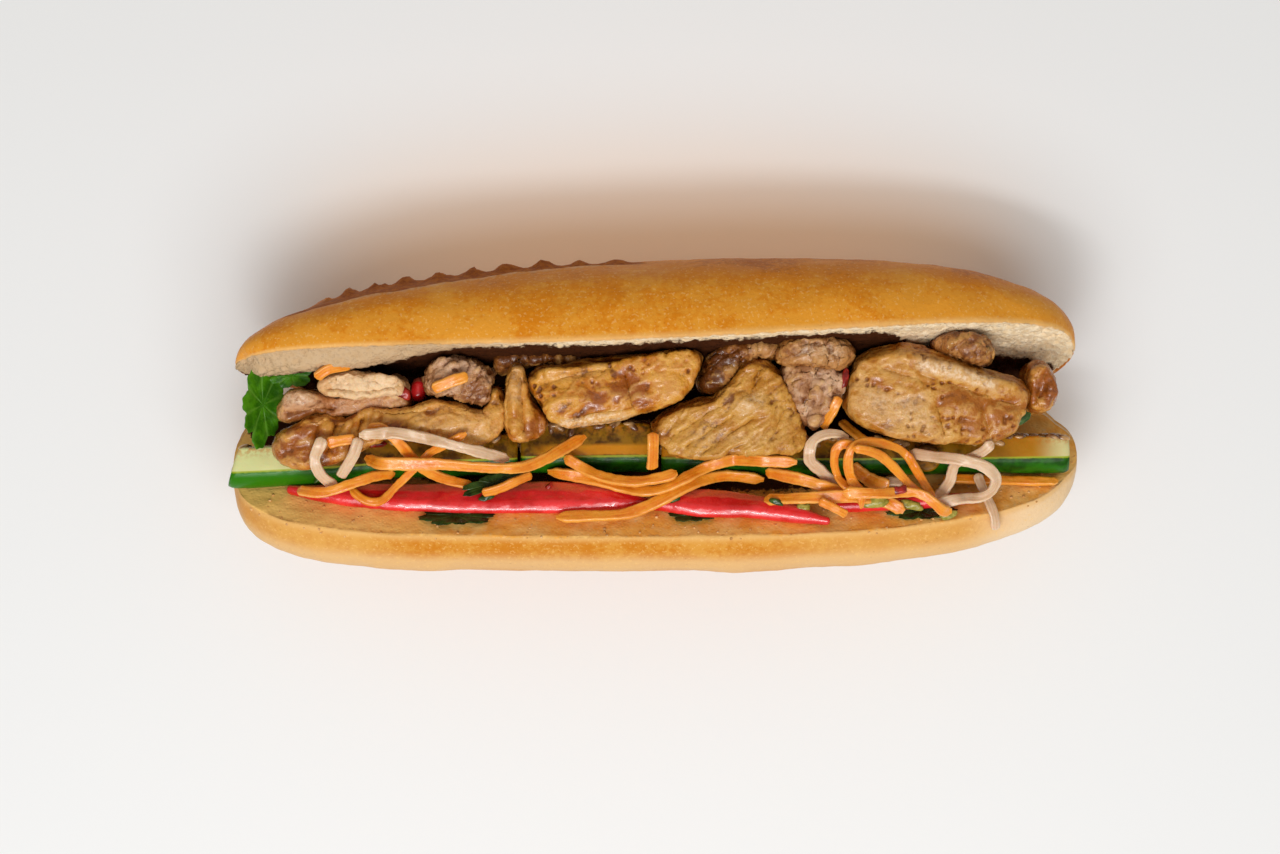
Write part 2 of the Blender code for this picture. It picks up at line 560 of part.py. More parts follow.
CARROT_TOP = (
    ("carrot_left_end", 2.6, ((-92.4, -19.4), (-85.7, -20.0), (-78.7, -17.9), (-72.5, -15.8),
                              (-67.8, -15.3))),
    ("carrot_beside_leaf", 2.5, ((-45.1, -20.2), (-40.9, -19.2), (-36.3, -17.1),
                                 (-32.4, -15.6))),
    ("carrot_middle_long", 3.1, ((-28.2, -14.8), (-19.7, -16.1), (-12.0, -17.9),
                                 (-4.2, -19.7), (2.3, -18.9), (8.7, -15.8), (13.9, -13.2),
                                 (20.3, -11.6), (27.3, -11.9), (36.4, -12.2))),
    ("carrot_middle_cross", 2.8, ((-23.8, -10.9), (-18.4, -14.2), (-13.2, -16.3),
                                  (-5.5, -17.3), (1.0, -16.3), (5.4, -15.0))),
    ("carrot_left_long", 3.1, ((-75.0, -10.9), (-70.2, -12.5), (-55.9, -12.7), (-40.4, -13.7),
                               (-32.6, -13.0), (-24.9, -9.3), (-18.4, -5.5))),
)


# --- Coriander --------------------------------------------------------------------------

def leaf_outline(length, width, lobes, depth, turn, around):
    """A lobed leaf blade: an ellipse whose edge goes in and out once for each lobe."""
    outline = []
    for i in range(around):
        angle = 2.0 * math.pi * i / around
        edge = 1.0 - depth * (0.5 + 0.5 * math.cos(lobes * angle + math.pi))
        u = length / 2.0 * edge * math.cos(angle)
        v = width / 2.0 * edge * math.sin(angle)
        outline.append((u * math.cos(turn) - v * math.sin(turn),
                        u * math.sin(turn) + v * math.cos(turn)))
    return outline


def make_leaf(name, centre, outline, height, material):
    """A thin blade whose underside follows height(x, y)."""
    rings = []
    for level in (0.0, LEAF_THICKNESS):
        rings.append([(centre[0] + u, centre[1] + v, height(centre[0] + u, centre[1] + v) + level)
                      for u, v in outline])
    points, faces = join_rings(rings)
    faces = faces[:-2]
    count = len(outline)
    for level in (0, 1):
        hub = len(points)
        points.append((centre[0], centre[1], height(*centre) + level * LEAF_THICKNESS))
        for i in range(count):
            faces.append((hub, level * count + i, level * count + (i + 1) % count))
    return make_solid(name, points, faces, material, smooth=False)


def level_over(centre, outline, slope_x, slope_y):
    """A tilted plane just clear of whatever lies under a leaf."""
    def plane(x, y):
        return slope_x * (x - centre[0]) + slope_y * (y - centre[1])
    under = max(height_below(centre[0] + u * share, centre[1] + v * share)
                - plane(centre[0] + u * share, centre[1] + v * share)
                for u, v in outline for share in (0.0, 0.35, 0.7, 1.0))
    return lambda x, y: under + RESTING_GAP + plane(x, y)


def on_bottom_face(x, y):
    return bottom_face_height(y) + 0.45


def make_bedded_leaves(green):
    """Leaves at the left end, and those lying on the bottom cut face under the peppers."""
    upright = leaf_outline(20.0, 10.5, 7, 0.28, math.radians(84.0), 28)
    make_leaf("coriander_leaf_end", (-102.2, 2.6), upright,
              lambda x, y: 50.0 - 0.7 * (x + 102.2), green)
    upper = leaf_outline(9.5, 6.4, 5, 0.26, math.radians(15.0), 20)
    make_leaf("coriander_leaf_upper", (-94.2, 10.4), upper, lambda x, y: 51.5, green)
    for name, centre, length, width in (("coriander_leaf_face_left", (-52.0, -26.2), 19.0, 5.4),
                                        ("coriander_leaf_face_middle", (9.6, -26.0), 11.0, 3.8),
                                        ("coriander_leaf_face_right", (69.0, -25.0), 18.0,
                                         5.0)):
        make_leaf(name, centre, leaf_outline(length, width, 7, 0.24, 0.0, 28), on_bottom_face,
                  green)


def make_top_leaf(green):
    outline = leaf_outline(14.5, 4.8, 5, 0.22, math.radians(16.0), 20)
    centre = (-41.4, -17.6)
    make_leaf("coriander_leaf_top", centre, outline, level_over(centre, outline, 0.0, -0.5),
              green)


def make_sandwich():
    clear_scene()
    make_roll()
    make_cucumber()
    make_chicken()
    make_pepper()
    green = make_material("coriander", (0.10, 0.25, 0.03), 0.5)
    carrot = make_material("carrot", (0.85, 0.36, 0.06), 0.4)
    daikon = make_material("daikon", (0.82, 0.66, 0.55), 0.4)
    make_bedded_leaves(green)
    for strips, material in ((CARROT_BEDDED, carrot), (DAIKON_RIGHT, daikon),
                             (CARROT_RIGHT, carrot), (CARROT_LEFT, carrot),
                             (DAIKON_LEFT, daikon)):
        for name, width, route in strips:
            make_strip(name, route, width, material)
    make_top_leaf(green)
    for name, width, route in CARROT_TOP:
        make_strip(name, route, width, carrot)


make_sandwich()
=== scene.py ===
"""Looks of an opened banh mi: a crusty roll lying on its hinge, filled with roast chicken,
cucumber, red pepper, shredded carrot and daikon, and coriander.

X runs along the roll, the bottom half leans towards -Y and the top half towards +Y.
Sizes are in millimetres and are scaled to metres where a mesh is made. Places that a
material reads, and those of the lights and the camera, are in metres.
"""
import math

import bmesh
import bpy
import numpy as np
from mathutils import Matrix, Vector, noise
from mathutils.bvhtree import BVHTree


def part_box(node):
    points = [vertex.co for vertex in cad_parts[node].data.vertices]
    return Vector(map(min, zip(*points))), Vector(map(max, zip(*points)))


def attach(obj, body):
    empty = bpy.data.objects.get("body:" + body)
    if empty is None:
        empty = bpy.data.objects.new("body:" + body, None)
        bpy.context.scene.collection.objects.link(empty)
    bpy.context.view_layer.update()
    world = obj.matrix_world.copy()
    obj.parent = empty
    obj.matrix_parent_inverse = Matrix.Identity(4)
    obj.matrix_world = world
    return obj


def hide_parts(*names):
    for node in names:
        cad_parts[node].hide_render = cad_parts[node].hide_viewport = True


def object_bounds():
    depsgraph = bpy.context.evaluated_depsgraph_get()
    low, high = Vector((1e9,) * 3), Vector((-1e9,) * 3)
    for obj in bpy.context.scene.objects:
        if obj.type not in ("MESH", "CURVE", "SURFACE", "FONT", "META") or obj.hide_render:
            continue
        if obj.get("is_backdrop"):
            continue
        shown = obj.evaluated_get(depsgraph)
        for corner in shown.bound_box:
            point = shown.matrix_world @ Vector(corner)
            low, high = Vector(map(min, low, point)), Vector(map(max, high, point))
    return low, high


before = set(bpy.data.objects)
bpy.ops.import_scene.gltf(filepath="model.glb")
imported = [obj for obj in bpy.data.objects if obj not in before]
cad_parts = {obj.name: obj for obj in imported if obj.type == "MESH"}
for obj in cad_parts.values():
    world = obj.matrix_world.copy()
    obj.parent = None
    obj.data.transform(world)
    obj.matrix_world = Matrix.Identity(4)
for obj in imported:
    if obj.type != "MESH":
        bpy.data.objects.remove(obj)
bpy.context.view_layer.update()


# --- Roll -------------------------------------------------------------------------------
# A short loaf with a thin, glazed crust over soft white crumb, slit along the front and
# folded open on its back crust. Each half is a grid bent round the half's outline, the
# crown of the top half split into a toothed ear where the baker slashed it.

MM = 0.001
HALF_LENGTH = 110.0
BOTTOM_HALF_LENGTH = 111.5
CREASE_Y = 7.0
CREASE_Z = 14.0
BOTTOM_LEAN = math.radians(44.0)
TOP_LEAN = math.radians(11.0)
TOP_LEAN_GAIN = math.radians(13.5)
LEFT_BLUNTNESS, RIGHT_BLUNTNESS, BLUNTNESS_BEND = 4.0, 2.4, 0.38
LEFT_SWING, RIGHT_SWING = 6.0, 2.0
DOME_SHARE = 0.6
SLASH_START = -86.0
SLASH_LENGTH = 81.0
SLASH_TEETH = 9.5
SLASH_TURN = math.radians(67.0)
LENS_MIDDLE, LENS_REACH = -0.45, 0.44


def feed(tree, socket, value):
    """Puts a value, or a link from another node, on a socket."""
    source = getattr(value, "socket", value)
    if isinstance(source, bpy.types.NodeSocket):
        tree.links.new(source, socket)
    else:
        socket.default_value = value


def add_node(tree, kind, inputs=None, **settings):
    made = tree.nodes.new(kind)
    for name, value in settings.items():
        setattr(made, name, value)
    for name, value in (inputs or {}).items():
        feed(tree, made.inputs[name], value)
    return made


class Flow:
    """A number flowing between nodes: arithmetic on it adds Math nodes to its tree."""

    def __init__(self, tree, socket):
        self.tree = tree
        self.socket = socket

    def math(self, operation, *others):
        made = add_node(self.tree, "ShaderNodeMath", operation=operation)
        for slot, value in zip(made.inputs, (self, *others)):
            feed(self.tree, slot, value)
        return Flow(self.tree, made.outputs[0])

    def __add__(self, other):
        return self.math("ADD", other)

    def __sub__(self, other):
        return self.math("SUBTRACT", other)

    def __mul__(self, other):
        return self.math("MULTIPLY", other)

    def __truediv__(self, other):
        return self.math("DIVIDE", other)

    def __pow__(self, other):
        return self.math("POWER", other)

    def ramp(self, low, high, start=0.0, end=1.0):
        """A smooth change from start to end while this number goes from low to high."""
        made = add_node(self.tree, "ShaderNodeMapRange", interpolation_type="SMOOTHSTEP")
        for slot, value in zip(made.inputs, (self, low, high, start, end)):
            feed(self.tree, slot, value)
        return Flow(self.tree, made.outputs[0])

    def choose(self, below, above, edge=0.0):
        """below where this number is under the edge, otherwise above."""
        over = self.math("GREATER_THAN", edge)
        return (over * above) + (over * -1.0 + 1.0) * below


def open_tree(name, **kinds):
    """A geometry tree with named inputs, listed by kind: the tree, the geometry that comes
    in, its inputs as flows, and its output."""
    tree = bpy.data.node_groups.new(name, "GeometryNodeTree")
    tree.interface.new_socket("Geometry", in_out="INPUT", socket_type="NodeSocketGeometry")
    for kind, labels in kinds.items():
        for label in labels:
            tree.interface.new_socket(label, in_out="INPUT", socket_type="NodeSocket" + kind)
    tree.interface.new_socket("Geometry", in_out="OUTPUT", socket_type="NodeSocketGeometry")
    start = tree.nodes.new("NodeGroupInput")
    flows = {label: Flow(tree, start.outputs[label])
             for labels in kinds.values() for label in labels}
    return tree, start.outputs["Geometry"], flows, tree.nodes.new("NodeGroupOutput")


def close_tree(tree, geometry, material, end):
    """Every tree ends by making its instances real and giving them their material."""
    real = add_node(tree, "GeometryNodeRealizeInstances", {"Geometry": geometry})
    dressed = add_node(tree, "GeometryNodeSetMaterial",
                       {"Geometry": real.outputs[0], "Material": material})
    feed(tree, end.inputs[0], dressed.outputs[0])


def grow(tree, piece, values):
    """Runs a tree on a piece and keeps the result as its plain mesh."""
    modifier = piece.modifiers.new(tree.name, "NODES")
    modifier.node_group = tree
    for item in tree.interface.items_tree:
        if item.in_out == "INPUT" and item.name in values:
            modifier[item.identifier] = values[item.name]
    keep_result(piece)


def keep_result(piece):
    """Replaces a piece's modifiers by the mesh they give."""
    graph = bpy.context.evaluated_depsgraph_get()
    made = bpy.data.meshes.new_from_object(piece.evaluated_get(graph), depsgraph=graph,
                                           preserve_all_data_layers=True)
    piece.modifiers.clear()
    piece.data = made


def new_piece(name, mesh=None):
    piece = bpy.data.objects.new(name, mesh or bpy.data.meshes.new(name))
    bpy.context.scene.collection.objects.link(piece)
    return piece


def vector_math(tree, operation, first, second):
    """A Vector Math node's result, its second input being the scale where it scales."""
    made = add_node(tree, "ShaderNodeVectorMath", operation=operation)
    feed(tree, made.inputs[0], first)
    feed(tree, made.inputs["Scale" if operation == "SCALE" else 1], second)
    return made.outputs["Value" if operation == "DOT_PRODUCT" else 0]


def per_metre(tree, size_mm):
    """The scale of a texture whose features are as large as a tree's input says."""
    return add_node(tree, "ShaderNodeMath", {0: 1000.0, 1: size_mm}, operation="DIVIDE").outputs[0]


def soft_noise(tree, size_mm, detail=2.0, roughness=0.5, place=None, shift=0.0):
    """A noise whose lumps are about size_mm across, from about 0 to 1."""
    made = add_node(tree, "ShaderNodeTexNoise",
                    {"Scale": 1000.0 / size_mm, "Detail": detail, "Roughness": roughness})
    if place is not None:
        feed(tree, made.inputs["Vector"], vector_math(tree, "ADD", place, (shift,) * 3))
    return Flow(tree, made.outputs[0])


def position(tree):
    return add_node(tree, "GeometryNodeInputPosition").outputs[0]


def separated(tree, vector):
    made = add_node(tree, "ShaderNodeSeparateXYZ", {0: vector})
    return [Flow(tree, part) for part in made.outputs]


def combined(tree, x=0.0, y=0.0, z=0.0):
    return add_node(tree, "ShaderNodeCombineXYZ", {0: x, 1: y, 2: z}).outputs[0]


def named(tree, label):
    """A number that an earlier step left on the surface."""
    return Flow(tree, add_node(tree, "GeometryNodeInputNamedAttribute", {"Name": label},
                               data_type="FLOAT").outputs[0])


def store(tree, geometry, label, flow):
    return add_node(tree, "GeometryNodeStoreNamedAttribute",
                    {"Geometry": geometry, "Name": label, "Value": flow},
                    data_type="FLOAT", domain="POINT").outputs[0]


def moved_by(tree, geometry, offset):
    return add_node(tree, "GeometryNodeSetPosition",
                    {"Geometry": geometry, "Offset": offset}).outputs[0]


def push_out(tree, geometry, distance):
    """Moves a surface along its normal by a distance in millimetres."""
    normal = add_node(tree, "GeometryNodeInputNormal").outputs[0]
    return moved_by(tree, geometry, vector_math(tree, "SCALE", normal, distance * MM))


def smoothed(tree, geometry):
    return add_node(tree, "GeometryNodeSetShadeSmooth", {"Geometry": geometry}).outputs[0]


def half_loaf_tree():
    """Half a loaf. Rows of the grid are stations along it, each bent round its outline."""
    tree, _, size, end = open_tree(
        "half loaf", Int=("Stations", "Outline Points"),
        Float=("Half Length", "Half Width", "Middle", "Left Depth", "Right Depth", "Left Power",
               "Left Bend", "Right Power", "Right Bend", "Belly", "Roundness", "Side", "Lean",
               "Lean Gain", "Ear", "Crumb Puff", "Crumb Relief", "Stain"),
        Material=("Material",))
    grid = add_node(tree, "GeometryNodeMeshGrid",
                    {"Size X": 2.0, "Size Y": 1.0, "Vertices X": size["Stations"],
                     "Vertices Y": size["Outline Points"]})
    place = position(tree)
    run, around, _ = separated(tree, place)
    t = (run * (math.pi / 2.0)).math("SINE")
    s = around + 0.5
    reach = t.math("ABSOLUTE")

    def open_end(power, bend):
        """Closes a measure towards the ends, the blunter the higher the power."""
        return (((reach ** power) * -1.0 + 1.0).math("MAXIMUM", 0.0)) ** bend

    half_width = size["Half Width"] * open_end(t.choose(LEFT_BLUNTNESS, RIGHT_BLUNTNESS),
                                               BLUNTNESS_BEND)
    centre = size["Middle"] + (t ** 4.0) * t.choose(LEFT_SWING, RIGHT_SWING)
    depth = t.ramp(-0.6, 0.4, size["Left Depth"], size["Right Depth"]) * open_end(
        t.choose(size["Left Power"], size["Right Power"]),
        t.choose(size["Left Bend"], size["Right Bend"]))
    belly = size["Belly"].math("MINIMUM", depth * 0.42)
    height = (depth - belly).math("MAXIMUM", 0.0001)
    rim_turn = ((belly / height) ** (size["Roundness"] * 0.5)).math("MINIMUM", 1.0).math("ARCSINE")
    dome = (s / DOME_SHARE).math("MINIMUM", 1.0)
    face = ((s - DOME_SHARE) / (1.0 - DOME_SHARE)).math("MAXIMUM", 0.0)
    turn = rim_turn * -1.0 + (rim_turn * 2.0 + math.pi) * dome
    bend = Flow(tree, add_node(tree, "ShaderNodeMath", {0: 2.0, 1: size["Roundness"]},
                               operation="DIVIDE").outputs[0])

    def bent(wave):
        return (wave.math("ABSOLUTE") ** bend) * wave.math("SIGN")

    front = half_width * bent(rim_turn.math("COSINE"))
    along = centre + half_width * bent(turn.math("COSINE")) + front * 2.0 * face.math("SQRT")
    out = belly + height * bent(turn.math("SINE"))
    on_face = face.math("GREATER_THAN", 0.0)

    # The slash: a toothed outer edge, a thin inner lip, and a sunken band between them that
    # shows its brown bottom in the shape of a lens.
    slashed = size["Ear"].math("MINIMUM", 1.0)
    stretch = t.ramp(-0.84, -0.74) * t.ramp(-0.02, -0.16)
    beat = ((t * HALF_LENGTH - SLASH_START) / SLASH_LENGTH).math("MAXIMUM", 0.0) ** 0.85
    beat = beat * SLASH_TEETH + (soft_noise(tree, 22.0, 1.0, place=place) - 0.5) * 0.7
    tooth = ((beat.math("FRACT") - 0.5).math("ABSOLUTE") * 2.0) ** 2.0
    lip_turn = t.ramp(-0.80, -0.05, math.radians(37.0), math.radians(56.0))

    def crest(at, width):
        """A rounded crest along the crown where the outline's turn is at a given angle."""
        return ((((turn - at) / width) ** 2.0) * -1.0).math("EXPONENT")

    outer, lip = crest(SLASH_TURN, 0.10), crest(lip_turn, 0.03) * stretch
    past_lip = (turn - lip_turn).ramp(0.0, 0.06)
    band = past_lip * turn.ramp(math.radians(100.0), math.radians(80.0)) * stretch * slashed
    out = out + stretch * outer * (tooth * 0.78 + 0.22) * size["Ear"]
    out = out + (lip * 0.5 - band * 0.4) * slashed
    lens = ((((t - LENS_MIDDLE) / LENS_REACH) ** 2.0) * -1.0 + 1.0).math("MAXIMUM", 0.0)
    lens = lens.math("SQRT")
    split = past_lip * (turn - lip_turn - lens * 0.66).ramp(0.20, -0.22)
    split = split * lens.ramp(0.05, 0.5) * slashed

    # The crumb swells out a little past the cut where nothing holds it back.
    rim_run = along - (centre - front)
    from_rim = front * 2.0 - rim_run
    swell = from_rim.ramp(0.0, 5.0) * from_rim.ramp(20.0, 9.0) * t.ramp(-0.45, -0.78)
    swell = swell * t.ramp(-1.0, -0.93)
    out = out * (on_face * -1.0 + 1.0) - on_face * swell * size["Crumb Puff"]

    lean = size["Lean"] + size["Lean Gain"] * ((t * 0.5 + 0.5).math("MAXIMUM", 0.0) ** 3.0)
    sine, cosine = lean.math("SINE"), lean.math("COSINE")
    y = (along * sine + out * cosine) * size["Side"] + CREASE_Y
    z = along * cosine - out * sine + CREASE_Z
    spot = combined(tree, t * size["Half Length"] * MM, y * MM, z * MM)
    deep = from_rim * on_face + (on_face - 1.0) * (turn + rim_turn) * half_width
    shaped = grid.outputs[0]
    for label, value in (("crumb", on_face), ("dome", turn / math.pi), ("slash", split),
                         ("lip", lip * slashed), ("deep", deep), ("stain", size["Stain"])):
        shaped = store(tree, shaped, label, value)
    shaped = add_node(tree, "GeometryNodeSetPosition",
                      {"Geometry": shaped, "Position": spot}).outputs[0]
    shaped = add_node(tree, "GeometryNodeMergeByDistance",
                      {"Geometry": shaped, "Distance": 0.02 * MM}).outputs[0]

    here = position(tree)
    lumps = (soft_noise(tree, 24.0, 2.0, place=here) - 0.5) * 2.0
    blisters = (soft_noise(tree, 4.5, 3.0, place=here, shift=0.3) - 0.5) * 0.55
    skin = lumps + blisters
    pores = add_node(tree, "ShaderNodeTexVoronoi", {"Vector": here, "Scale": 1000.0 / 2.4})
    pit = Flow(tree, pores.outputs["Distance"]).ramp(0.1, 0.55, -0.55, 0.12)
    torn = (soft_noise(tree, 2.0, 3.0, 0.6, place=here, shift=0.7) - 0.5) * 1.5
    crumbly = (pit + torn) * size["Crumb Relief"]
    crumbly = crumbly + (soft_noise(tree, 9.0, 2.0, place=here, shift=0.9) - 0.5) * 1.3
    shaped = push_out(tree, shaped, skin + (crumbly - skin) * named(tree, "crumb"))
    close_tree(tree, smoothed(tree, shaped), size["Material"], end)
    return tree


def material_tree(name):
    """A new material: the material, its tree and its Principled shader."""
    made = bpy.data.materials.new(name)
    made.use_nodes = True
    return made, made.node_tree, made.node_tree.nodes["Principled BSDF"]


def mix_colour(tree, factor, first, second):
    made = add_node(tree, "ShaderNodeMix", data_type="RGBA")
    feed(tree, made.inputs[0], factor)
    for slot, value in ((6, first), (7, second)):
        feed(tree, made.inputs[slot], (*value, 1.0) if isinstance(value, tuple) else value)
    return made.outputs[2]


def painted(tree, base, *coats):
    """A base colour under coats, each a mask and the colour that shows where it is one."""
    for mask, colour in coats:
        base = mix_colour(tree, mask, base, colour)
    return base


def object_place(tree):
    return add_node(tree, "ShaderNodeTexCoord").outputs["Object"]


def read(tree, label):
    made = add_node(tree, "ShaderNodeAttribute", attribute_name=label)
    return Flow(tree, made.outputs["Fac"])


def bump(tree, shader, height, distance_mm, strength=1.0):
    made = add_node(tree, "ShaderNodeBump", {"Height": height, "Distance": distance_mm * MM,
                                             "Strength": strength})
    feed(tree, shader.inputs["Normal"], made.outputs[0])


def dress(tree, shader, values):
    """Puts constants, or the colours and masks of a tree, on a shader's sockets."""
    for name, value in values.items():
        feed(tree, shader.inputs[name], value)


def bread_material():
    made, tree, shader = material_tree("crust and crumb")
    place = object_place(tree)
    dome = read(tree, "dome")
    slash = read(tree, "slash")
    stain = read(tree, "stain")
    ragged = soft_noise(tree, 1.6, 3.0, 0.6, place)
    deep = read(tree, "deep")
    mottle = soft_noise(tree, 15.0, 4.0, 0.62, place)
    ragged_edge = (ragged - 0.5) * (stain * 3.0 + 1.2) + (mottle - 0.5) * stain * 5.0
    crumb_mask = (deep + ragged_edge).ramp(-0.5, stain * 0.6 + 0.4)

    # Crust: pale at the cut edge and deeper towards the crown, partly real browning and partly
    # painted shade on the crown, which turns away from the light; mottled, with tiny pale blisters.
    grain = soft_noise(tree, 1.5, 3.0, 0.65, place, 0.4)
    flecks = soft_noise(tree, 0.8, 1.0, 0.5, place, 0.8)
    # Darker away from the cut edge: real browning together with painted shade on the crown.
    browned = (dome.ramp(0.02, 0.40) * 0.80 + (mottle - 0.5) * 2.0 + (grain - 0.5) * 1.3)
    run = separated(tree, place)[0]
    ends = run.ramp(0.020, 0.055).math("MAXIMUM", run.ramp(-0.060, -0.085) * 0.8)
    split = (slash + (grain - 0.5) * 0.9 + (mottle - 0.5) * 0.6).ramp(0.25, 0.6)
    top_crust = painted(
        tree, (0.78, 0.32, 0.030), (browned.ramp(-0.1, 0.45), (0.70, 0.225, 0.008)),
        (browned.ramp(0.45, 1.15), (0.46, 0.115, 0.002)))
    low_crust = painted(
        tree, (0.70, 0.32, 0.050),
        ((mottle + (grain - 0.5) * 0.7).ramp(0.32, 0.64), (0.60, 0.205, 0.012)),
        (ends * 0.5, (0.78, 0.44, 0.13)),
        # Painted light: the band where the bottom crust curves down towards the table is painted
        # paler, as light bounced up from the table.
        (deep.ramp(-5.5, -12.0) * deep.ramp(-30.0, -16.0) * 0.8, (0.80, 0.50, 0.22)),
        (run.ramp(0.078, 0.098) * deep.ramp(-40.0, -18.0) * 0.8, (0.92, 0.68, 0.42)),
        (deep.ramp(-4.0, -1.0) * 0.55, (0.78, 0.43, 0.14)))
    crust = painted(
        tree, top_crust, (stain, low_crust),
        (deep.ramp(-2.6, -0.6) * (stain * -0.35 + 0.6), (0.86, 0.54, 0.20)),
        (flecks.ramp(0.60, 0.70) * 0.35, (0.90, 0.56, 0.20)),
        (flecks.ramp(0.28, 0.22) * 0.3, (0.32, 0.10, 0.01)),
        (split * 0.95, mix_colour(tree, grain.ramp(0.35, 0.65), (0.26, 0.052, 0.001),
                                  (0.44, 0.120, 0.005))),
        (read(tree, "lip") * grain.ramp(0.35, 0.6), (0.74, 0.42, 0.20)))

    # Crumb: cream on the top half, soaked and tinted by the filling on the bottom half, and
    # painted dark brown where it goes down behind the filling, as painted shade.
    pale = painted(
        tree, (0.82, 0.61, 0.36), (ragged.ramp(0.3, 0.7), (0.90, 0.75, 0.53)),
        (run.ramp(-0.025, -0.055) * 0.8, (0.53, 0.34, 0.180)))
    soaked = painted(
        tree, (0.86, 0.38, 0.060),
        (soft_noise(tree, 5.0, 3.0, 0.6, place, 0.2).ramp(0.35, 0.7), (0.94, 0.55, 0.17)),
        (ragged.ramp(0.58, 0.75) * 0.5, (0.88, 0.60, 0.32)),
        (run.ramp(-0.045, -0.085) * 0.8, (0.97, 0.60, 0.18)))
    # How deep into the cut face the crumb stays clear of the painted shade.
    dry = run.ramp(-0.045, -0.072, 2.2, 9.0) + run.ramp(0.056, 0.074, 0.0, 18.0) + stain * 13.0
    # Painted shade: past that depth the cut face turns dark brown, standing in for the shade behind
    # the filling.
    juicy = (deep + (ragged - 0.5) * 7.0 - dry).ramp(0.0, 2.2)
    inside = painted(tree, pale, (stain, soaked), (juicy, (0.055, 0.014, 0.003)))
    rough = crumb_mask.ramp(0.0, 1.0, 0.42, 0.85) + (mottle - 0.5) * 0.2 + slash * 0.25
    dress(tree, shader, {"Base Color": mix_colour(tree, crumb_mask, crust, inside),
                         "Roughness": rough, "Specular IOR Level": 0.1})
    fine = soft_noise(tree, 0.8, 3.0, 0.6, place, 0.1)
    pores = add_node(tree, "ShaderNodeTexVoronoi", {"Vector": place, "Scale": 1000.0 / 0.9})
    open_pores = Flow(tree, pores.outputs["Distance"]).ramp(0.0, 0.6)
    relief = ((fine * 0.20 + grain * 0.30) * (crumb_mask * -1.0 + 1.0)
              + (open_pores * 0.4 + ragged * 0.6) * crumb_mask * (stain * -0.75 + 1.0))
    bump(tree, shader, relief, 0.5)
    return made


bread_look = bread_material()
half_tree = half_loaf_tree()
shared = {"Stations": 300, "Outline Points": 150, "Half Width": 34.5, "Middle": 21.5,
          "Material": bread_look}
roll = new_piece("roll")
grow(half_tree, roll, {
    **shared, "Half Length": BOTTOM_HALF_LENGTH, "Left Depth": 25.0, "Right Depth": 25.0,
    "Left Power": 5.0, "Left Bend": 0.25, "Right Power": 3.0, "Right Bend": 0.35, "Belly": 5.0,
    "Roundness": 2.5, "Side": -1.0, "Lean": BOTTOM_LEAN, "Lean Gain": 0.0, "Ear": 0.0,
    "Crumb Puff": 0.0, "Crumb Relief": 0.15, "Stain": 1.0})
top_half = new_piece("top half")
grow(half_tree, top_half, {
    **shared, "Half Length": HALF_LENGTH, "Left Depth": 26.6, "Right Depth": 28.4,
    "Left Power": 2.6, "Left Bend": 0.6, "Right Power": 2.9, "Right Bend": 0.45, "Belly": 2.5,
    "Roundness": 2.2, "Side": 1.0, "Lean": TOP_LEAN, "Lean Gain": TOP_LEAN_GAIN, "Ear": 2.5,
    "Crumb Puff": 4.0, "Crumb Relief": 1.2, "Stain": 0.0})


def turned_out(mesh):
    """Turns a closed mesh's faces outwards."""
    shape = bmesh.new()
    shape.from_mesh(mesh)
    bmesh.ops.recalc_face_normals(shape, faces=shape.faces)
    shape.to_mesh(mesh)
    shape.free()


def kept_mesh(shape, name):
    mesh = bpy.data.meshes.new(name)
    shape.to_mesh(mesh)
    shape.free()
    return mesh


def box_below(name, reach):
    """A block whose top is the table, to press the roll's flat spot."""
    shape = bmesh.new()
    bmesh.ops.create_cube(shape, size=2.0 * reach)
    bmesh.ops.translate(shape, verts=shape.verts, vec=(0.0, 0.0, -reach))
    return new_piece(name, kept_mesh(shape, name))


for half in (roll, top_half):
    turned_out(half.data)
table_cut = box_below("table cut", 0.3)
for label, operation, tool in (("hinge", "UNION", top_half), ("rest", "DIFFERENCE", table_cut)):
    joined = roll.modifiers.new(label, "BOOLEAN")
    joined.operation = operation
    joined.solver = "MANIFOLD"
    joined.object = tool
keep_result(roll)
for tool in (top_half, table_cut):
    bpy.data.objects.remove(tool, do_unlink=True)
roll.data.materials.clear()
roll.data.materials.append(bread_look)
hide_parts("bread_roll")
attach(roll, "root")


# --- Chicken ----------------------------------------------------------------------------
# Boned thigh, roasted skin on in a soy and sugar glaze and cut in thick slices: glossy brown
# skin, tan meat with fibres and pores, one slice of dry white breast. Every piece is packed
# between the two halves of the roll and shows its upper side.

def merged_solid(node):
    """A CAD solid's mesh with its loose triangles joined up."""
    shape = bmesh.new()
    shape.from_mesh(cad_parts[node].data)
    bmesh.ops.remove_doubles(shape, verts=shape.verts, dist=1e-6)
    return shape


def solid_copy(node, cell_mm, rounds):
    """A CAD solid's shape as an even mesh of small cells, rounded a number of times."""
    piece = new_piece(node + "_look", kept_mesh(merged_solid(node), node + " look"))
    even = piece.modifiers.new("even", "REMESH")
    even.mode = "VOXEL"
    even.voxel_size = cell_mm * MM
    smooth = piece.modifiers.new("smooth", "SMOOTH")
    smooth.factor = 0.5
    smooth.iterations = rounds
    keep_result(piece)
    return piece


def near_line(points, row):
    """How close flat points are to a line, from 0 far off to 1 on it. row is x, y, x, y, width."""
    start, end = np.array(row[0:2]), np.array(row[2:4])
    run = end - start
    share = np.clip(((points - start) @ run) / max(run @ run, 1e-9), 0.0, 1.0)
    gap = np.linalg.norm(points - start - share[:, None] * run, axis=1)
    return np.exp(-(gap / row[4]) ** 2)


def put_values(mesh, label, values):
    layer = mesh.attributes.new(label, "FLOAT", "POINT")
    layer.data.foreach_set("value", np.asarray(values, np.float32))


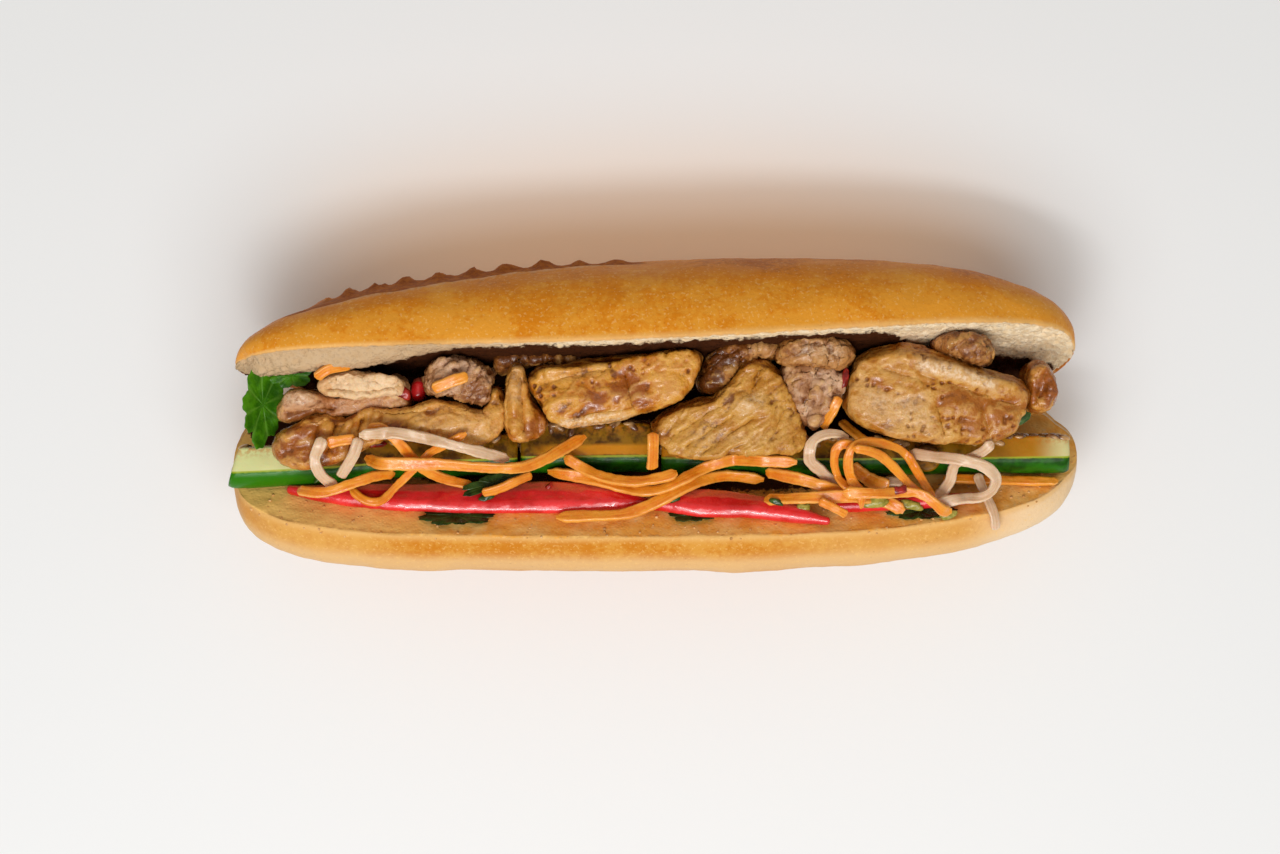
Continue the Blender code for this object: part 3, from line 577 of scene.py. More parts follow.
def work_surface(piece, level, folds=(), tints=()):
    """Cuts the rounded top flatter by the share level, raises or sinks folds, (x, y, x, y,
    width, height) seen from above, and paints tints, (x, y, x, y, width, strength): below
    nought is browner and above nought paler. The sides are painted browner than the top,
    as painted shade."""
    mesh = piece.data
    rim = 3.0 * MM
    count = len(mesh.vertices)
    spots = np.empty(count * 3)
    mesh.vertices.foreach_get("co", spots)
    spots = spots.reshape(-1, 3)
    facing = np.empty(count * 3, np.float32)
    mesh.vertices.foreach_get("normal", facing)
    facing = facing.reshape(-1, 3)
    flat = spots[:, :2] / MM
    inset, reach = 1.5, 2.5
    marks = np.linspace(flat[:, 0].min() + inset, flat[:, 0].max() - inset, 12)
    tops = [spots[np.abs(flat[:, 0] - mark) < reach][:, 2].max() for mark in marks]
    over = spots[:, 2] - np.interp(flat[:, 0], marks, tops) + rim
    spots[:, 2] -= np.clip(over, 0.0, None) * level
    # How far a spot lies under the top: the sides, which are painted browner as painted shade.
    side = np.clip(-over / rim, 0.0, 1.0)
    lift = sum((near_line(flat, row) * row[5] for row in folds), np.zeros(count))
    spots[:, 2] += lift * MM * np.clip(facing[:, 2] * 1.5, 0.0, 1.0)
    mesh.vertices.foreach_set("co", spots.ravel())
    # The listed tints are real browner and paler patches; the sides add painted shade to them.
    tint = sum((near_line(flat, row) * row[5] for row in tints), side * -0.45)
    put_values(mesh, "tint", tint)
    mesh.update()


def meat_tree():
    """Lumps, wrinkles, fibres and pores pushed into a piece of meat along its surface. The
    hollow attribute tells how far a spot lies under or over its surroundings, -1 to 1."""
    tree, meat, size, end = open_tree(
        "meat surface",
        Float=("Swell", "Lump Height", "Lump Size", "Wrinkle Height", "Wrinkle Size",
               "Fibre Height", "Fibre Size", "Grain Height", "Pore Depth", "Pore Size", "Tear",
               "Tear Size", "Seed"),
        Vector=("Fibre Direction",), Material=("Material",))
    seeded = combined(tree, size["Seed"], size["Seed"] * 1.7, size["Seed"] * 2.3)
    moved = vector_math(tree, "ADD", position(tree), seeded)

    def noise_of(spread_mm, detail, roughness, vector):
        """A noise's value, and its colour to wander by."""
        made = add_node(tree, "ShaderNodeTexNoise",
                        {"Vector": vector, "Scale": per_metre(tree, spread_mm),
                         "Detail": detail, "Roughness": roughness})
        return Flow(tree, made.outputs[0]), made.outputs["Color"]

    def ridged(value, sharpness):
        return (((value - 0.5).math("ABSOLUTE") * -5.0 + 1.0).math("MAXIMUM", 0.0)) ** sharpness

    warp = noise_of(size["Fibre Size"] * 5.0, 2.0, 0.5, moved)[1]
    swayed = vector_math(tree, "ADD", moved, vector_math(tree, "SCALE", warp, 3.5 * MM))
    run = Flow(tree, vector_math(tree, "DOT_PRODUCT", swayed, size["Fibre Direction"]))

    def drawn_out(share):
        """The place squeezed along the fibres, so that what it drives is drawn out along them."""
        shorter = vector_math(tree, "SCALE", size["Fibre Direction"], run * -share)
        return vector_math(tree, "ADD", swayed, shorter)

    fibre = noise_of(size["Fibre Size"], 3.0, 0.6, drawn_out(0.86))[0]
    lump = noise_of(size["Lump Size"], 3.0, 0.5, moved)[0]
    wrinkle = ridged(noise_of(size["Wrinkle Size"], 2.0, 0.5, drawn_out(0.5))[0], 1.6)
    grain = noise_of(1.5, 3.0, 0.65, moved)[0] - 0.5
    crackle = ridged(noise_of(size["Wrinkle Size"] * 0.42, 2.0, 0.6, drawn_out(0.4))[0], 1.3)
    gaps = add_node(tree, "ShaderNodeTexVoronoi",
                    {"Vector": swayed, "Scale": per_metre(tree, size["Pore Size"])})
    where = noise_of(size["Pore Size"] * 4.0, 1.0, 0.5, moved)[0]
    pore = Flow(tree, gaps.outputs["Distance"]).ramp(0.40, 0.10) * where.ramp(0.44, 0.62)
    small = ((wrinkle - 0.35) * size["Wrinkle Height"] + (fibre - 0.5) * size["Fibre Height"] * 2.2
             + (grain * 1.6 + crackle - 0.4) * size["Grain Height"] - pore * size["Pore Depth"])
    reach = (size["Wrinkle Height"] + size["Fibre Height"] + size["Grain Height"]) * 0.5
    shaped = store(tree, meat, "hollow", small / reach)
    shaped = store(tree, shaped, "pore", pore)
    tear = vector_math(tree, "ADD", noise_of(size["Tear Size"], 3.0, 0.6, swayed)[1], (-0.5,) * 3)
    shaped = moved_by(tree, shaped, vector_math(tree, "SCALE", tear, size["Tear"] * 2.0 * MM))
    shaped = push_out(tree, shaped, (lump - 0.5) * size["Lump Height"] * 2.0 + small
                      + size["Swell"])
    close_tree(tree, smoothed(tree, shaped), size["Material"], end)
    return tree


def roast_group():
    """Colour, roughness, wetness and fine relief of roasted meat under a glaze, with painted shade
    in its hollows, pores and sides and painted highlights on its raised spots.
    """
    tree = bpy.data.node_groups.new("roast", "ShaderNodeTree")
    for label in ("Flesh", "Skin", "Brown"):
        tree.interface.new_socket(label, in_out="INPUT", socket_type="NodeSocketColor")
    for label in ("Browning", "Patch Size", "Wetness", "Cavity"):
        tree.interface.new_socket(label, in_out="INPUT", socket_type="NodeSocketFloat")
    tree.interface.new_socket("Colour", in_out="OUTPUT", socket_type="NodeSocketColor")
    for label in ("Roughness", "Coat", "Relief"):
        tree.interface.new_socket(label, in_out="OUTPUT", socket_type="NodeSocketFloat")
    start, end = tree.nodes.new("NodeGroupInput"), tree.nodes.new("NodeGroupOutput")
    place = object_place(tree)
    hollow, pore, tint = read(tree, "hollow"), read(tree, "pore"), read(tree, "tint")
    patches = add_node(tree, "ShaderNodeTexNoise",
                       {"Vector": place, "Scale": per_metre(tree, start.outputs["Patch Size"]),
                        "Detail": 4.0, "Roughness": 0.62, "Distortion": 0.6})
    patch = Flow(tree, patches.outputs[0])
    blotch = soft_noise(tree, 3.0, 4.0, 0.7, place, 0.5)
    grain = soft_noise(tree, 0.8, 3.0, 0.7, place, 0.9)
    speckle = soft_noise(tree, 1.1, 4.0, 0.75, place, 1.7)
    browning, wet, cavity = (Flow(tree, start.outputs[label])
                             for label in ("Browning", "Wetness", "Cavity"))
    # Browner on the sides and in the hollows too, as painted shade.
    browned = (blotch * 0.65 + patch * 0.45 - 0.05 - tint * 0.5 - hollow * 0.12
               + (browning - 0.5)).ramp(0.47, 0.66)
    # Painted highlight: raised spots are painted paler.
    raised = (hollow + (grain - 0.5) * 1.2).ramp(0.10, 0.9)
    # Painted shade: hollows and pores are painted dark brown.
    shade = (hollow + (grain - 0.5) * 0.9).ramp(0.0, -0.65) * 0.9
    shade = shade.math("MAXIMUM", pore * 0.35) * cavity
    colour = painted(
        tree, start.outputs["Flesh"],
        ((patch + (blotch - 0.5) * 0.8 - tint * 0.45).ramp(0.40, 0.58), start.outputs["Skin"]),
        (browned * 0.9, start.outputs["Brown"]), (raised * 0.38, (0.82, 0.47, 0.12)),
        ((speckle + (patch - 0.5) * 0.3).ramp(0.60, 0.68) * 0.55, start.outputs["Brown"]),
        (shade.math("MINIMUM", 1.0), (0.17, 0.042, 0.004)),
        (tint.ramp(0.15, 0.8) * (speckle.ramp(0.56, 0.42) * 0.6 + 0.15), (0.86, 0.64, 0.42)))
    feed(tree, end.inputs["Colour"], colour)
    rough = blotch.ramp(0.35, 0.65, 0.16, 0.40) + (grain - 0.5) * 0.2
    feed(tree, end.inputs["Roughness"], rough + (wet * -1.0 + 1.0) * 0.30)
    feed(tree, end.inputs["Coat"], wet * (blotch.ramp(0.40, 0.54) * 0.5 + browned * 0.35))
    feed(tree, end.inputs["Relief"], grain * 0.5 + speckle * 0.35 + blotch * 0.3 - pore * 0.3)
    return tree


roast = roast_group()


# The last argument sets how strong the painted shade in hollows and pores is.
def roast_material(name, flesh, skin, brown, browning, patch_mm, wetness, cavity=1.0):
    made, tree, shader = material_tree(name)
    look = add_node(tree, "ShaderNodeGroup", node_tree=roast)
    for label, value in (("Flesh", (*flesh, 1.0)), ("Skin", (*skin, 1.0)),
                         ("Brown", (*brown, 1.0)), ("Browning", browning),
                         ("Patch Size", patch_mm), ("Wetness", wetness), ("Cavity", cavity)):
        look.inputs[label].default_value = value
    dress(tree, shader, {
        "Base Color": look.outputs["Colour"], "Roughness": look.outputs["Roughness"],
        "Coat Weight": look.outputs["Coat"], "Coat Roughness": 0.17, "Specular IOR Level": 0.3,
        "Subsurface Weight": 0.12, "Subsurface Radius": (1.0, 0.5, 0.25),
        "Subsurface Scale": 1.5 * MM})
    bump(tree, shader, look.outputs["Relief"], 0.7, 0.8)
    return made


glazed_skin = roast_material("glazed chicken skin", (0.62, 0.27, 0.040), (0.48, 0.150, 0.008),
                             (0.34, 0.085, 0.004), 0.48, 7.0, 0.9)
golden_skin = roast_material("golden chicken skin", (0.66, 0.29, 0.032), (0.54, 0.170, 0.006),
                             (0.32, 0.072, 0.002), 0.45, 9.0, 0.9)
pale_roast = roast_material("pale roast chicken", (0.60, 0.30, 0.080), (0.50, 0.190, 0.014),
                            (0.40, 0.115, 0.005), 0.46, 5.0, 0.75, 0.6)
tan_meat = roast_material("tan chicken meat", (0.60, 0.295, 0.052), (0.50, 0.20, 0.018),
                          (0.32, 0.088, 0.005), 0.44, 9.0, 0.9)
pink_meat = roast_material("pink chicken meat", (0.56, 0.27, 0.120), (0.42, 0.155, 0.045),
                           (0.22, 0.062, 0.010), 0.46, 5.0, 0.8)
grey_meat = roast_material("greyish chicken meat", (0.62, 0.37, 0.220), (0.48, 0.23, 0.100),
                           (0.26, 0.085, 0.020), 0.42, 4.0, 0.7)
# For the pieces deep behind the others: partly dark meat, partly painted shade.
dark_meat = roast_material("dark chicken meat", (0.50, 0.225, 0.065), (0.30, 0.100, 0.018),
                           (0.10, 0.024, 0.003), 0.46, 4.0, 0.9)
white_meat = roast_material("white chicken meat", (0.84, 0.57, 0.320), (0.72, 0.41, 0.180),
                            (0.66, 0.38, 0.170), 0.36, 5.0, 0.3, 0.5)

meat_grain = meat_tree()
SKIN_GRAIN = {"Level": 0.9, "Swell": 0.6, "Lump Height": 0.75, "Lump Size": 9.0,
              "Wrinkle Height": 0.55, "Wrinkle Size": 5.5, "Fibre Height": 0.10,
              "Fibre Size": 1.6, "Fibre Direction": (0.9, 0.3, 0.3), "Grain Height": 0.17,
              "Pore Depth": 0.15, "Pore Size": 2.2, "Tear": 0.5, "Tear Size": 6.0}
MEAT_GRAIN = {**SKIN_GRAIN, "Wrinkle Height": 0.25, "Fibre Height": 0.5, "Fibre Size": 1.4}
RAGGED_GRAIN = {**SKIN_GRAIN, "Level": 0.5, "Swell": 1.5, "Lump Height": 1.2, "Lump Size": 6.0,
                "Wrinkle Height": 0.2, "Wrinkle Size": 3.4, "Fibre Height": 1.6,
                "Fibre Size": 1.7, "Grain Height": 0.12, "Pore Depth": 0.7, "Tear": 1.0,
                "Tear Size": 3.2}
CHICKEN = (
    ("chicken_skin_slice", "chicken_skin", glazed_skin, {**SKIN_GRAIN, "Wrinkle Height": 0.7},
     ((-95.0, -5.5, -84.0, -3.0, 1.2, 1.0), (-84.5, -9.0, -82.5, -2.0, 0.8, -1.6),
      (-81.0, -8.0, -79.0, -2.0, 0.8, 1.4), (-77.5, -7.0, -75.5, -1.0, 0.8, -1.6),
      (-73.5, -6.0, -72.0, 0.0, 0.8, 1.2), (-88.5, -10.0, -87.0, -3.0, 0.7, -1.0),
      (-68.0, -4.0, -46.0, -1.5, 2.4, 1.2), (-70.0, 0.5, -58.0, 1.0, 0.8, -1.0)),
     ((-96.0, -9.0, -88.0, -6.0, 4.0, -0.7), (-88.0, -4.0, -80.0, -4.0, 2.0, 0.2),
      (-60.0, -1.0, -44.0, -3.0, 5.0, 0.35), (-84.0, -8.0, -76.0, -8.0, 1.6, -0.3))),
    ("chicken_end_meat", "chicken_meat", pink_meat, MEAT_GRAIN,
     ((-96.0, 1.0, -84.0, 1.5, 1.0, -1.0), (-93.0, 4.0, -89.0, 4.5, 3.0, 1.2)),
     ((-94.0, 4.0, -90.0, 4.5, 3.0, 0.55), (-94.0, -0.5, -84.0, 1.5, 1.2, -0.6),
      (-82.0, 3.0, -66.0, 3.6, 2.0, 0.4))),
    ("chicken_breast_slice", "chicken_breast", white_meat,
     {**MEAT_GRAIN, "Fibre Height": 0.4, "Wrinkle Height": 0.1, "Level": 0.95, "Tear": 2.4,
      "Tear Size": 7.0, "Pore Depth": 0.0},
     ((-84.0, 6.0, -68.0, 6.8, 0.6, -0.7),), ((-80.0, 8.0, -70.0, 8.0, 3.0, 0.6),)),
    ("chicken_dark_lump", "dark_chicken", grey_meat,
     {**RAGGED_GRAIN, "Swell": 0.3, "Fibre Direction": (0.75, 0.6, 0.2)},
     ((-56.0, 8.0, -52.0, 13.0, 1.4, 1.2), (-50.0, 5.0, -47.0, 9.0, 2.0, -1.4)),
     ((-54.0, 12.0, -50.0, 13.0, 3.0, 0.35), (-48.0, 6.0, -46.0, 7.0, 2.5, -0.5))),
    ("chicken_back_strip", "dark_chicken", dark_meat, RAGGED_GRAIN, (),
     ((-40.0, 13.0, -20.0, 14.0, 6.0, -0.2),)),
    ("chicken_folded_skin", "chicken_skin", glazed_skin,
     {**SKIN_GRAIN, "Fibre Direction": (0.1, 0.98, 0.1), "Fibre Height": 0.35},
     ((-36.5, -4.0, -36.8, 11.0, 1.0, 1.2), (-34.3, -4.0, -35.2, 9.0, 0.8, -1.2)),
     ((-36.0, 4.0, -36.0, 11.0, 2.0, 0.45), (-33.0, -4.0, -31.0, -3.0, 2.4, -0.5))),
    ("chicken_golden_slice", "chicken_skin", golden_skin, {**SKIN_GRAIN, "Pore Depth": 0.6},
     ((-24.0, 3.0, -4.0, 5.0, 3.4, 1.0), (-26.0, -2.4, -2.0, 1.0, 0.9, 1.0),
      (-8.0, 10.0, -6.0, 2.0, 0.9, -1.0), (-30.0, 8.0, -12.0, 12.0, 1.0, -0.9)),
     ((-26.0, -2.6, -4.0, 0.2, 1.0, 1.0), (-28.0, 9.0, -10.0, 12.0, 2.4, 0.35),
      (-16.0, 4.0, -6.0, 6.0, 3.0, -0.35), (-8.0, 10.0, -4.0, 5.0, 2.6, -0.8))),
    ("chicken_striated_slice", "chicken_meat", tan_meat,
     {**MEAT_GRAIN, "Level": 0.95, "Fibre Direction": (0.80, 0.58, 0.15), "Fibre Height": 1.0,
      "Fibre Size": 1.7, "Pore Depth": 0.0},
     ((18.0, 4.0, 28.0, 2.0, 2.4, 1.2), (4.0, -6.0, 16.0, 2.0, 0.6, -0.9),
      (8.0, -8.0, 20.0, 0.0, 0.6, -0.9), (13.0, -9.0, 25.0, -1.0, 0.6, -0.8),
      (30.0, -6.0, 33.0, 2.0, 0.8, -0.9), (24.0, 5.0, 27.0, 12.0, 1.0, -1.2)),
     ((22.0, 2.0, 26.0, 4.0, 3.0, 0.5), (10.0, -6.0, 30.0, -6.0, 3.0, 0.35))),
    ("chicken_fibrous_lump", "dark_chicken", dark_meat, RAGGED_GRAIN,
     (), ((14.0, 8.0, 18.0, 14.0, 5.0, -0.35), (24.0, 17.0, 28.0, 17.0, 2.0, 0.3))),
    ("chicken_back_upper", "dark_chicken", dark_meat, RAGGED_GRAIN,
     (), ((38.0, 16.5, 46.0, 16.5, 2.6, 0.5),)),
    ("chicken_back_lower", "chicken_meat", grey_meat,
     {**RAGGED_GRAIN, "Fibre Direction": (0.3, 0.9, 0.2)},
     ((38.0, 0.0, 41.0, 10.0, 1.0, -1.0),),
     ((36.0, 10.0, 40.0, 6.0, 3.0, -0.3), (42.0, 8.0, 45.0, 7.0, 2.5, 0.3))),
    ("chicken_large_slice", "chicken_skin", pale_roast,
     {**SKIN_GRAIN, "Level": 0.96, "Lump Height": 0.45, "Wrinkle Height": 0.3,
      "Pore Depth": 0.7, "Pore Size": 1.8},
     ((64.0, 15.5, 92.0, 6.5, 2.0, 0.5), (68.0, 10.5, 92.0, 2.5, 1.2, -0.8),
      (72.0, 2.0, 74.0, -5.0, 0.8, -0.9), (58.0, 12.0, 70.0, 8.0, 0.8, -0.5),
      (84.0, 2.0, 86.0, -6.0, 1.2, -1.0), (76.0, 3.0, 92.0, -2.0, 2.6, 0.8)),
     ((68.0, 13.0, 86.0, 8.0, 1.6, 0.9), (56.0, 4.0, 68.0, 0.0, 5.5, 0.45),
      (76.0, 4.0, 88.0, -3.0, 3.8, -1.5), (56.0, 9.0, 60.0, 7.0, 1.4, -0.9),
      (88.0, 2.0, 95.0, 4.0, 3.0, -0.7))),
    ("chicken_tip_slice", "chicken_skin", glazed_skin, {**SKIN_GRAIN, "Tear": 1.6},
     ((98.0, 3.0, 101.0, 10.0, 0.9, -1.0), (101.0, 3.0, 103.0, 10.0, 1.0, 0.8)),
     ((99.0, 6.0, 103.0, 6.0, 4.0, -0.6),)),
    ("chicken_lip_lump", "dark_chicken", dark_meat, RAGGED_GRAIN, (), ()),
)
for order, (node, slot_name, look, grain, folds, tints) in enumerate(CHICKEN):
    chunk = solid_copy(node, cell_mm=0.42, rounds=2)
    work_surface(chunk, grain["Level"], folds, tints)
    grow(meat_grain, chunk, {**grain, "Seed": 0.37 * order, "Material": look})
    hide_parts(node)
    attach(chunk, "root")


# --- Carrot and daikon shreds -----------------------------------------------------------
# Flat shreds off a julienne blade, carrot bright orange and pickled daikon white and half
# clear, with torn ends and fine grooves along them. Each follows the line of its CAD solid.

def shred_line(node):
    """Middle points of a CAD shred from end to end, its width, and its tilt at each point.
    The solid is a chain of upright rings: two upright edges with the width between them."""
    shape = merged_solid(node)
    posts = [edge for edge in shape.edges if (edge.verts[0].co - edge.verts[1].co).xy.length < 3e-6]
    post_of = {vert: k for k, edge in enumerate(posts) for vert in edge.verts}
    spots = [np.array((edge.verts[0].co + edge.verts[1].co) / 2.0) / MM for edge in posts]
    linked = {tuple(sorted(post_of[vert] for vert in edge.verts)) for edge in shape.edges}
    shape.free()
    gaps = {pair: np.linalg.norm(spots[pair[0]] - spots[pair[1]])
            for pair in linked if pair[0] != pair[1]}
    rounded = [round(gap, 2) for gap in gaps.values()]
    width = max(set(rounded), key=rounded.count)
    rings, ring_of = [], {}
    for pair in sorted(gaps, key=lambda pair: abs(gaps[pair] - width)):
        if pair[0] not in ring_of and pair[1] not in ring_of:
            ring_of[pair[0]] = ring_of[pair[1]] = len(rings)
            rings.append(pair)
    beside = {k: set() for k in range(len(rings))}
    for first, second in gaps:
        a, b = ring_of[first], ring_of[second]
        if a != b:
            beside[a].add(b)
            beside[b].add(a)
    chain = [next(k for k in beside if len(beside[k]) == 1)]
    while len(chain) < len(rings):
        chain.append(next(k for k in beside[chain[-1]] if k not in chain))
    middle = np.array([(spots[rings[k][0]] + spots[rings[k][1]]) / 2.0 for k in chain])
    across = np.array([spots[rings[k][0]] - spots[rings[k][1]] for k in chain])
    run = np.gradient(middle, axis=0)
    run /= np.linalg.norm(run, axis=1)[:, None]
    side = np.cross(run, (0.0, 0.0, 1.0))
    side /= np.linalg.norm(side, axis=1)[:, None]
    across *= np.sign((across * side).sum(1))[:, None]
    tilt = np.arctan2((across * np.cross(run, side)).sum(1), (across * side).sum(1))
    return middle, width, tilt


def rounded_line(middle, values, per_span=5):
    """More points along a line, on a smooth curve through it, and its values there."""
    count = len(middle)
    spots, between = [], []
    for k in range(count - 1):
        p0, p1, p2, p3 = (middle[min(max(k + i, 0), count - 1)] for i in (-1, 0, 1, 2))
        for i in range(per_span + (k == count - 2)):
            s = i / per_span
            spots.append(0.5 * (2.0 * p1 + (p2 - p0) * s + (2.0 * p0 - 5.0 * p1 + 4.0 * p2 - p3)
                                * s * s + (3.0 * p1 - p0 - 3.0 * p2 + p3) * s ** 3))
            between.append(values[k] * (1.0 - s) + values[k + 1] * s)
    return np.array(spots), np.array(between)


def line_mesh(name, spots, tilt):
    mesh = bpy.data.meshes.new(name)
    mesh.from_pydata([tuple(spot * MM) for spot in spots],
                     [(k, k + 1) for k in range(len(spots) - 1)], [])
    put_values(mesh, "roll", tilt)
    return mesh


def shred_tree():
    """A rounded strip swept along a line, uneven in width, grooved along it, torn at its tips."""
    tree, line, size, end = open_tree(
        "shred", Float=("Width", "Thickness", "Unevenness", "Groove", "Tip", "Seed"),
        Material=("Material",))
    line = add_node(tree, "GeometryNodeMeshToCurve", {"Mesh": line}).outputs[0]
    line = add_node(tree, "GeometryNodeSetCurveNormal", {"Curve": line}, mode="Z_UP").outputs[0]
    line = add_node(tree, "GeometryNodeSetCurveTilt",
                    {"Curve": line, "Tilt": named(tree, "roll")}).outputs[0]
    line = add_node(tree, "GeometryNodeResampleCurve", {"Curve": line, "Length": 0.5 * MM},
                    mode="LENGTH").outputs[0]
    along = add_node(tree, "GeometryNodeSplineParameter")
    line = store(tree, line, "run", Flow(tree, along.outputs["Length"]) * 1000.0)
    from_end = (Flow(tree, along.outputs["Factor"]) - 0.5).math("ABSOLUTE")
    sway = add_node(tree, "ShaderNodeTexNoise", {"Scale": 110.0, "Detail": 2.0, "W": size["Seed"]},
                    noise_dimensions="4D")
    wide = (Flow(tree, sway.outputs[0]) - 0.5) * size["Unevenness"] + 1.0
    wide = wide * from_end.ramp(0.5, 0.46, size["Tip"], 1.0)
    outline = add_node(tree, "GeometryNodeCurvePrimitiveQuadrilateral",
                       {"Width": size["Width"] * MM, "Height": size["Thickness"] * MM}).outputs[0]
    outline = add_node(tree, "GeometryNodeFilletCurve",
                       {"Curve": outline, "Count": 2, "Radius": size["Thickness"] * 0.28 * MM},
                       mode="POLY").outputs[0]
    outline = add_node(tree, "GeometryNodeResampleCurve", {"Curve": outline, "Count": 26},
                       mode="COUNT").outputs[0]
    outline = store(tree, outline, "across", separated(tree, position(tree))[0] * 1000.0)
    swept = add_node(tree, "GeometryNodeCurveToMesh", {"Curve": line, "Profile Curve": outline,
                                                       "Scale": wide, "Fill Caps": True}).outputs[0]
    groove_place = combined(tree, named(tree, "run") * 0.09, named(tree, "across") * 1.3,
                            size["Seed"])
    groove = Flow(tree, add_node(tree, "ShaderNodeTexNoise",
                                 {"Vector": groove_place, "Scale": 1.0, "Detail": 2.0}).outputs[0])
    rough = (soft_noise(tree, 1.4, 3.0, place=position(tree)) - 0.5) * 0.5
    swept = push_out(tree, swept, (groove - 0.5) * size["Groove"] * 2.0 + rough)
    close_tree(tree, smoothed(tree, swept), size["Material"], end)
    return tree


def shred_material(name, deep, bright, edge, clear):
    made, tree, shader = material_tree(name)
    place = object_place(tree)
    across = read(tree, "across")
    streaks = combined(tree, read(tree, "run") * 0.10, across * 1.9)
    streak = Flow(tree, add_node(tree, "ShaderNodeTexNoise",
                                 {"Vector": streaks, "Scale": 1.0, "Detail": 3.0}).outputs[0])
    cloud = soft_noise(tree, 7.0, 2.0, 0.5, place)
    fine = soft_noise(tree, 0.7, 2.0, 0.6, place, 0.2)
    colour = painted(tree, deep, ((streak * 0.6 + cloud * 0.4).ramp(0.38, 0.60), bright),
                     (across.math("ABSOLUTE").ramp(0.8, 1.4) * 0.5, edge),
                     (fine.ramp(0.62, 0.72) * 0.4, edge))
    dress(tree, shader, {
        "Base Color": colour, "Roughness": fine.ramp(0.35, 0.65, 0.26, 0.48),
        "Subsurface Weight": clear, "Subsurface Radius": (1.0, 0.6, 0.35),
        "Subsurface Scale": 1.5 * MM, "Coat Weight": 0.25, "Coat Roughness": 0.15})
    bump(tree, shader, streak * 0.6 + fine * 0.4, 0.2, 0.4)
    return made


carrot_look = shred_material("carrot", (0.76, 0.19, 0.005), (0.87, 0.32, 0.018),
                             (0.92, 0.47, 0.095), 0.15)
daikon_look = shred_material("pickled daikon", (0.62, 0.385, 0.21), (0.74, 0.52, 0.34),
                             (0.82, 0.62, 0.43), 0.5)
shred = shred_tree()
SHREDS = {"carrot": (carrot_look, 1.0, 0.14), "daikon": (daikon_look, 0.9, 0.04)}
for order, node in enumerate(sorted(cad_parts)):
    kind = node.split("_")[0]
    if kind in SHREDS:
        look, share, groove = SHREDS[kind]
        middle, width, tilt = shred_line(node)
        strip = new_piece(node + "_look", line_mesh(node, *rounded_line(middle, tilt)))
        grow(shred, strip, {"Width": width * share, "Thickness": 1.3, "Unevenness": 0.8,
                            "Groove": groove, "Tip": 0.42, "Seed": 0.61 * order,
                            "Material": look})
        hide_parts(node)
        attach(strip, "root")


# --- Cucumber ---------------------------------------------------------------------------
# Three wedges cut along a cucumber and one thin round: dark green waxy skin on the side
# towards the bottom half, pale flesh on the cut faces, and wet seeds along the core edge.

SPEAR_LIFT = 8.0
SPEAR_HALF = 5.2
RING_STEP = 0.7
SLANT_RINGS = 9.0


def rounded_outline(corners, per_side):
    """A closed outline through its corners with the same number of points on every side."""
    looped, _ = rounded_line(np.array(corners + corners[:1]), np.zeros(len(corners) + 1), per_side)
    return looped[:-1]


def ring_mesh(name, rings, layers):
    """A closed mesh through rings of points in millimetres, with a fan over each end."""
    around = len(rings[0])
    points = [tuple(np.array(point) * MM) for ring in rings for point in ring]
    values = {label: list(value) for label, value in layers.items()}
    faces = [(row * around + i, row * around + (i + 1) % around,
              (row + 1) * around + (i + 1) % around, (row + 1) * around + i)
             for row in range(len(rings) - 1) for i in range(around)]
    for row in (0, len(rings) - 1):
        hub = len(points)
        points.append(tuple(np.mean(rings[row], axis=0) * MM))
        for value in values.values():
            value.append(float(np.mean(value[row * around:(row + 1) * around])))
        faces += [(hub, row * around + i, row * around + (i + 1) % around) for i in range(around)]
    mesh = bpy.data.meshes.new(name)
    mesh.from_pydata(points, [], faces)
    for label, value in values.items():
        put_values(mesh, label, value)
    turned_out(mesh)
    return mesh


def cad_points(node):
    return np.array([tuple(vert.co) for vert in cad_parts[node].data.vertices]) / MM


def wedge_height(y):
    """Height of a wedge's middle line where it rests against the leaning bottom half."""
    return CREASE_Z + (CREASE_Y - y) / math.tan(BOTTOM_LEAN) + SPEAR_LIFT


def spear_mesh(node, inner, slant):
    """A wedge as long as its CAD solid, its skin side along the solid's front edge."""
    spots = cad_points(node)
    over_middle = spots[:, 2] - wedge_height(spots[:, 1] + SPEAR_HALF)
    ridge = spots[np.abs(over_middle - 1.0) < 0.1]
    marks, fronts = ridge[np.argsort(ridge[:, 0])][:, :2].T
    first, last = marks[0] + slant * SPEAR_HALF, marks[-1]
    section = rounded_outline([(inner, 4.4), (-1.2, 5.0), (-3.8, 3.6), (-SPEAR_HALF, 1.0),
                               (-4.9, -2.0), (-2.4, -4.9), (1.2, -6.0), (inner, -3.6)], 7)
    count = int((last - first) / RING_STEP)
    rings, skin, core, over = [], [], [], []
    for k in range(count + 1):
        x = first + (last - first) * k / count
        middle = float(np.interp(x, marks, fronts)) + SPEAR_HALF
        height = wedge_height(middle)
        near_end = 1.0 - 0.12 * max(0.0, 1.0 - min(k, count - k) / 2.0) ** 2
        lean = slant * max(0.0, 1.0 - k / SLANT_RINGS)
        rings.append([(x + lean * across, middle + across * near_end, height + up * near_end)
                      for across, up in section])
        skin += [min(max((-0.3 - across) / 1.2, 0.0), 1.0) for across, _ in section]
        core += [min(max((across - inner + 3.0) / 2.6, 0.0), 1.0) for across, _ in section]
        over += [across for across, _ in section]
    return ring_mesh(node, rings, {"skin": skin, "core": core, "over": over})


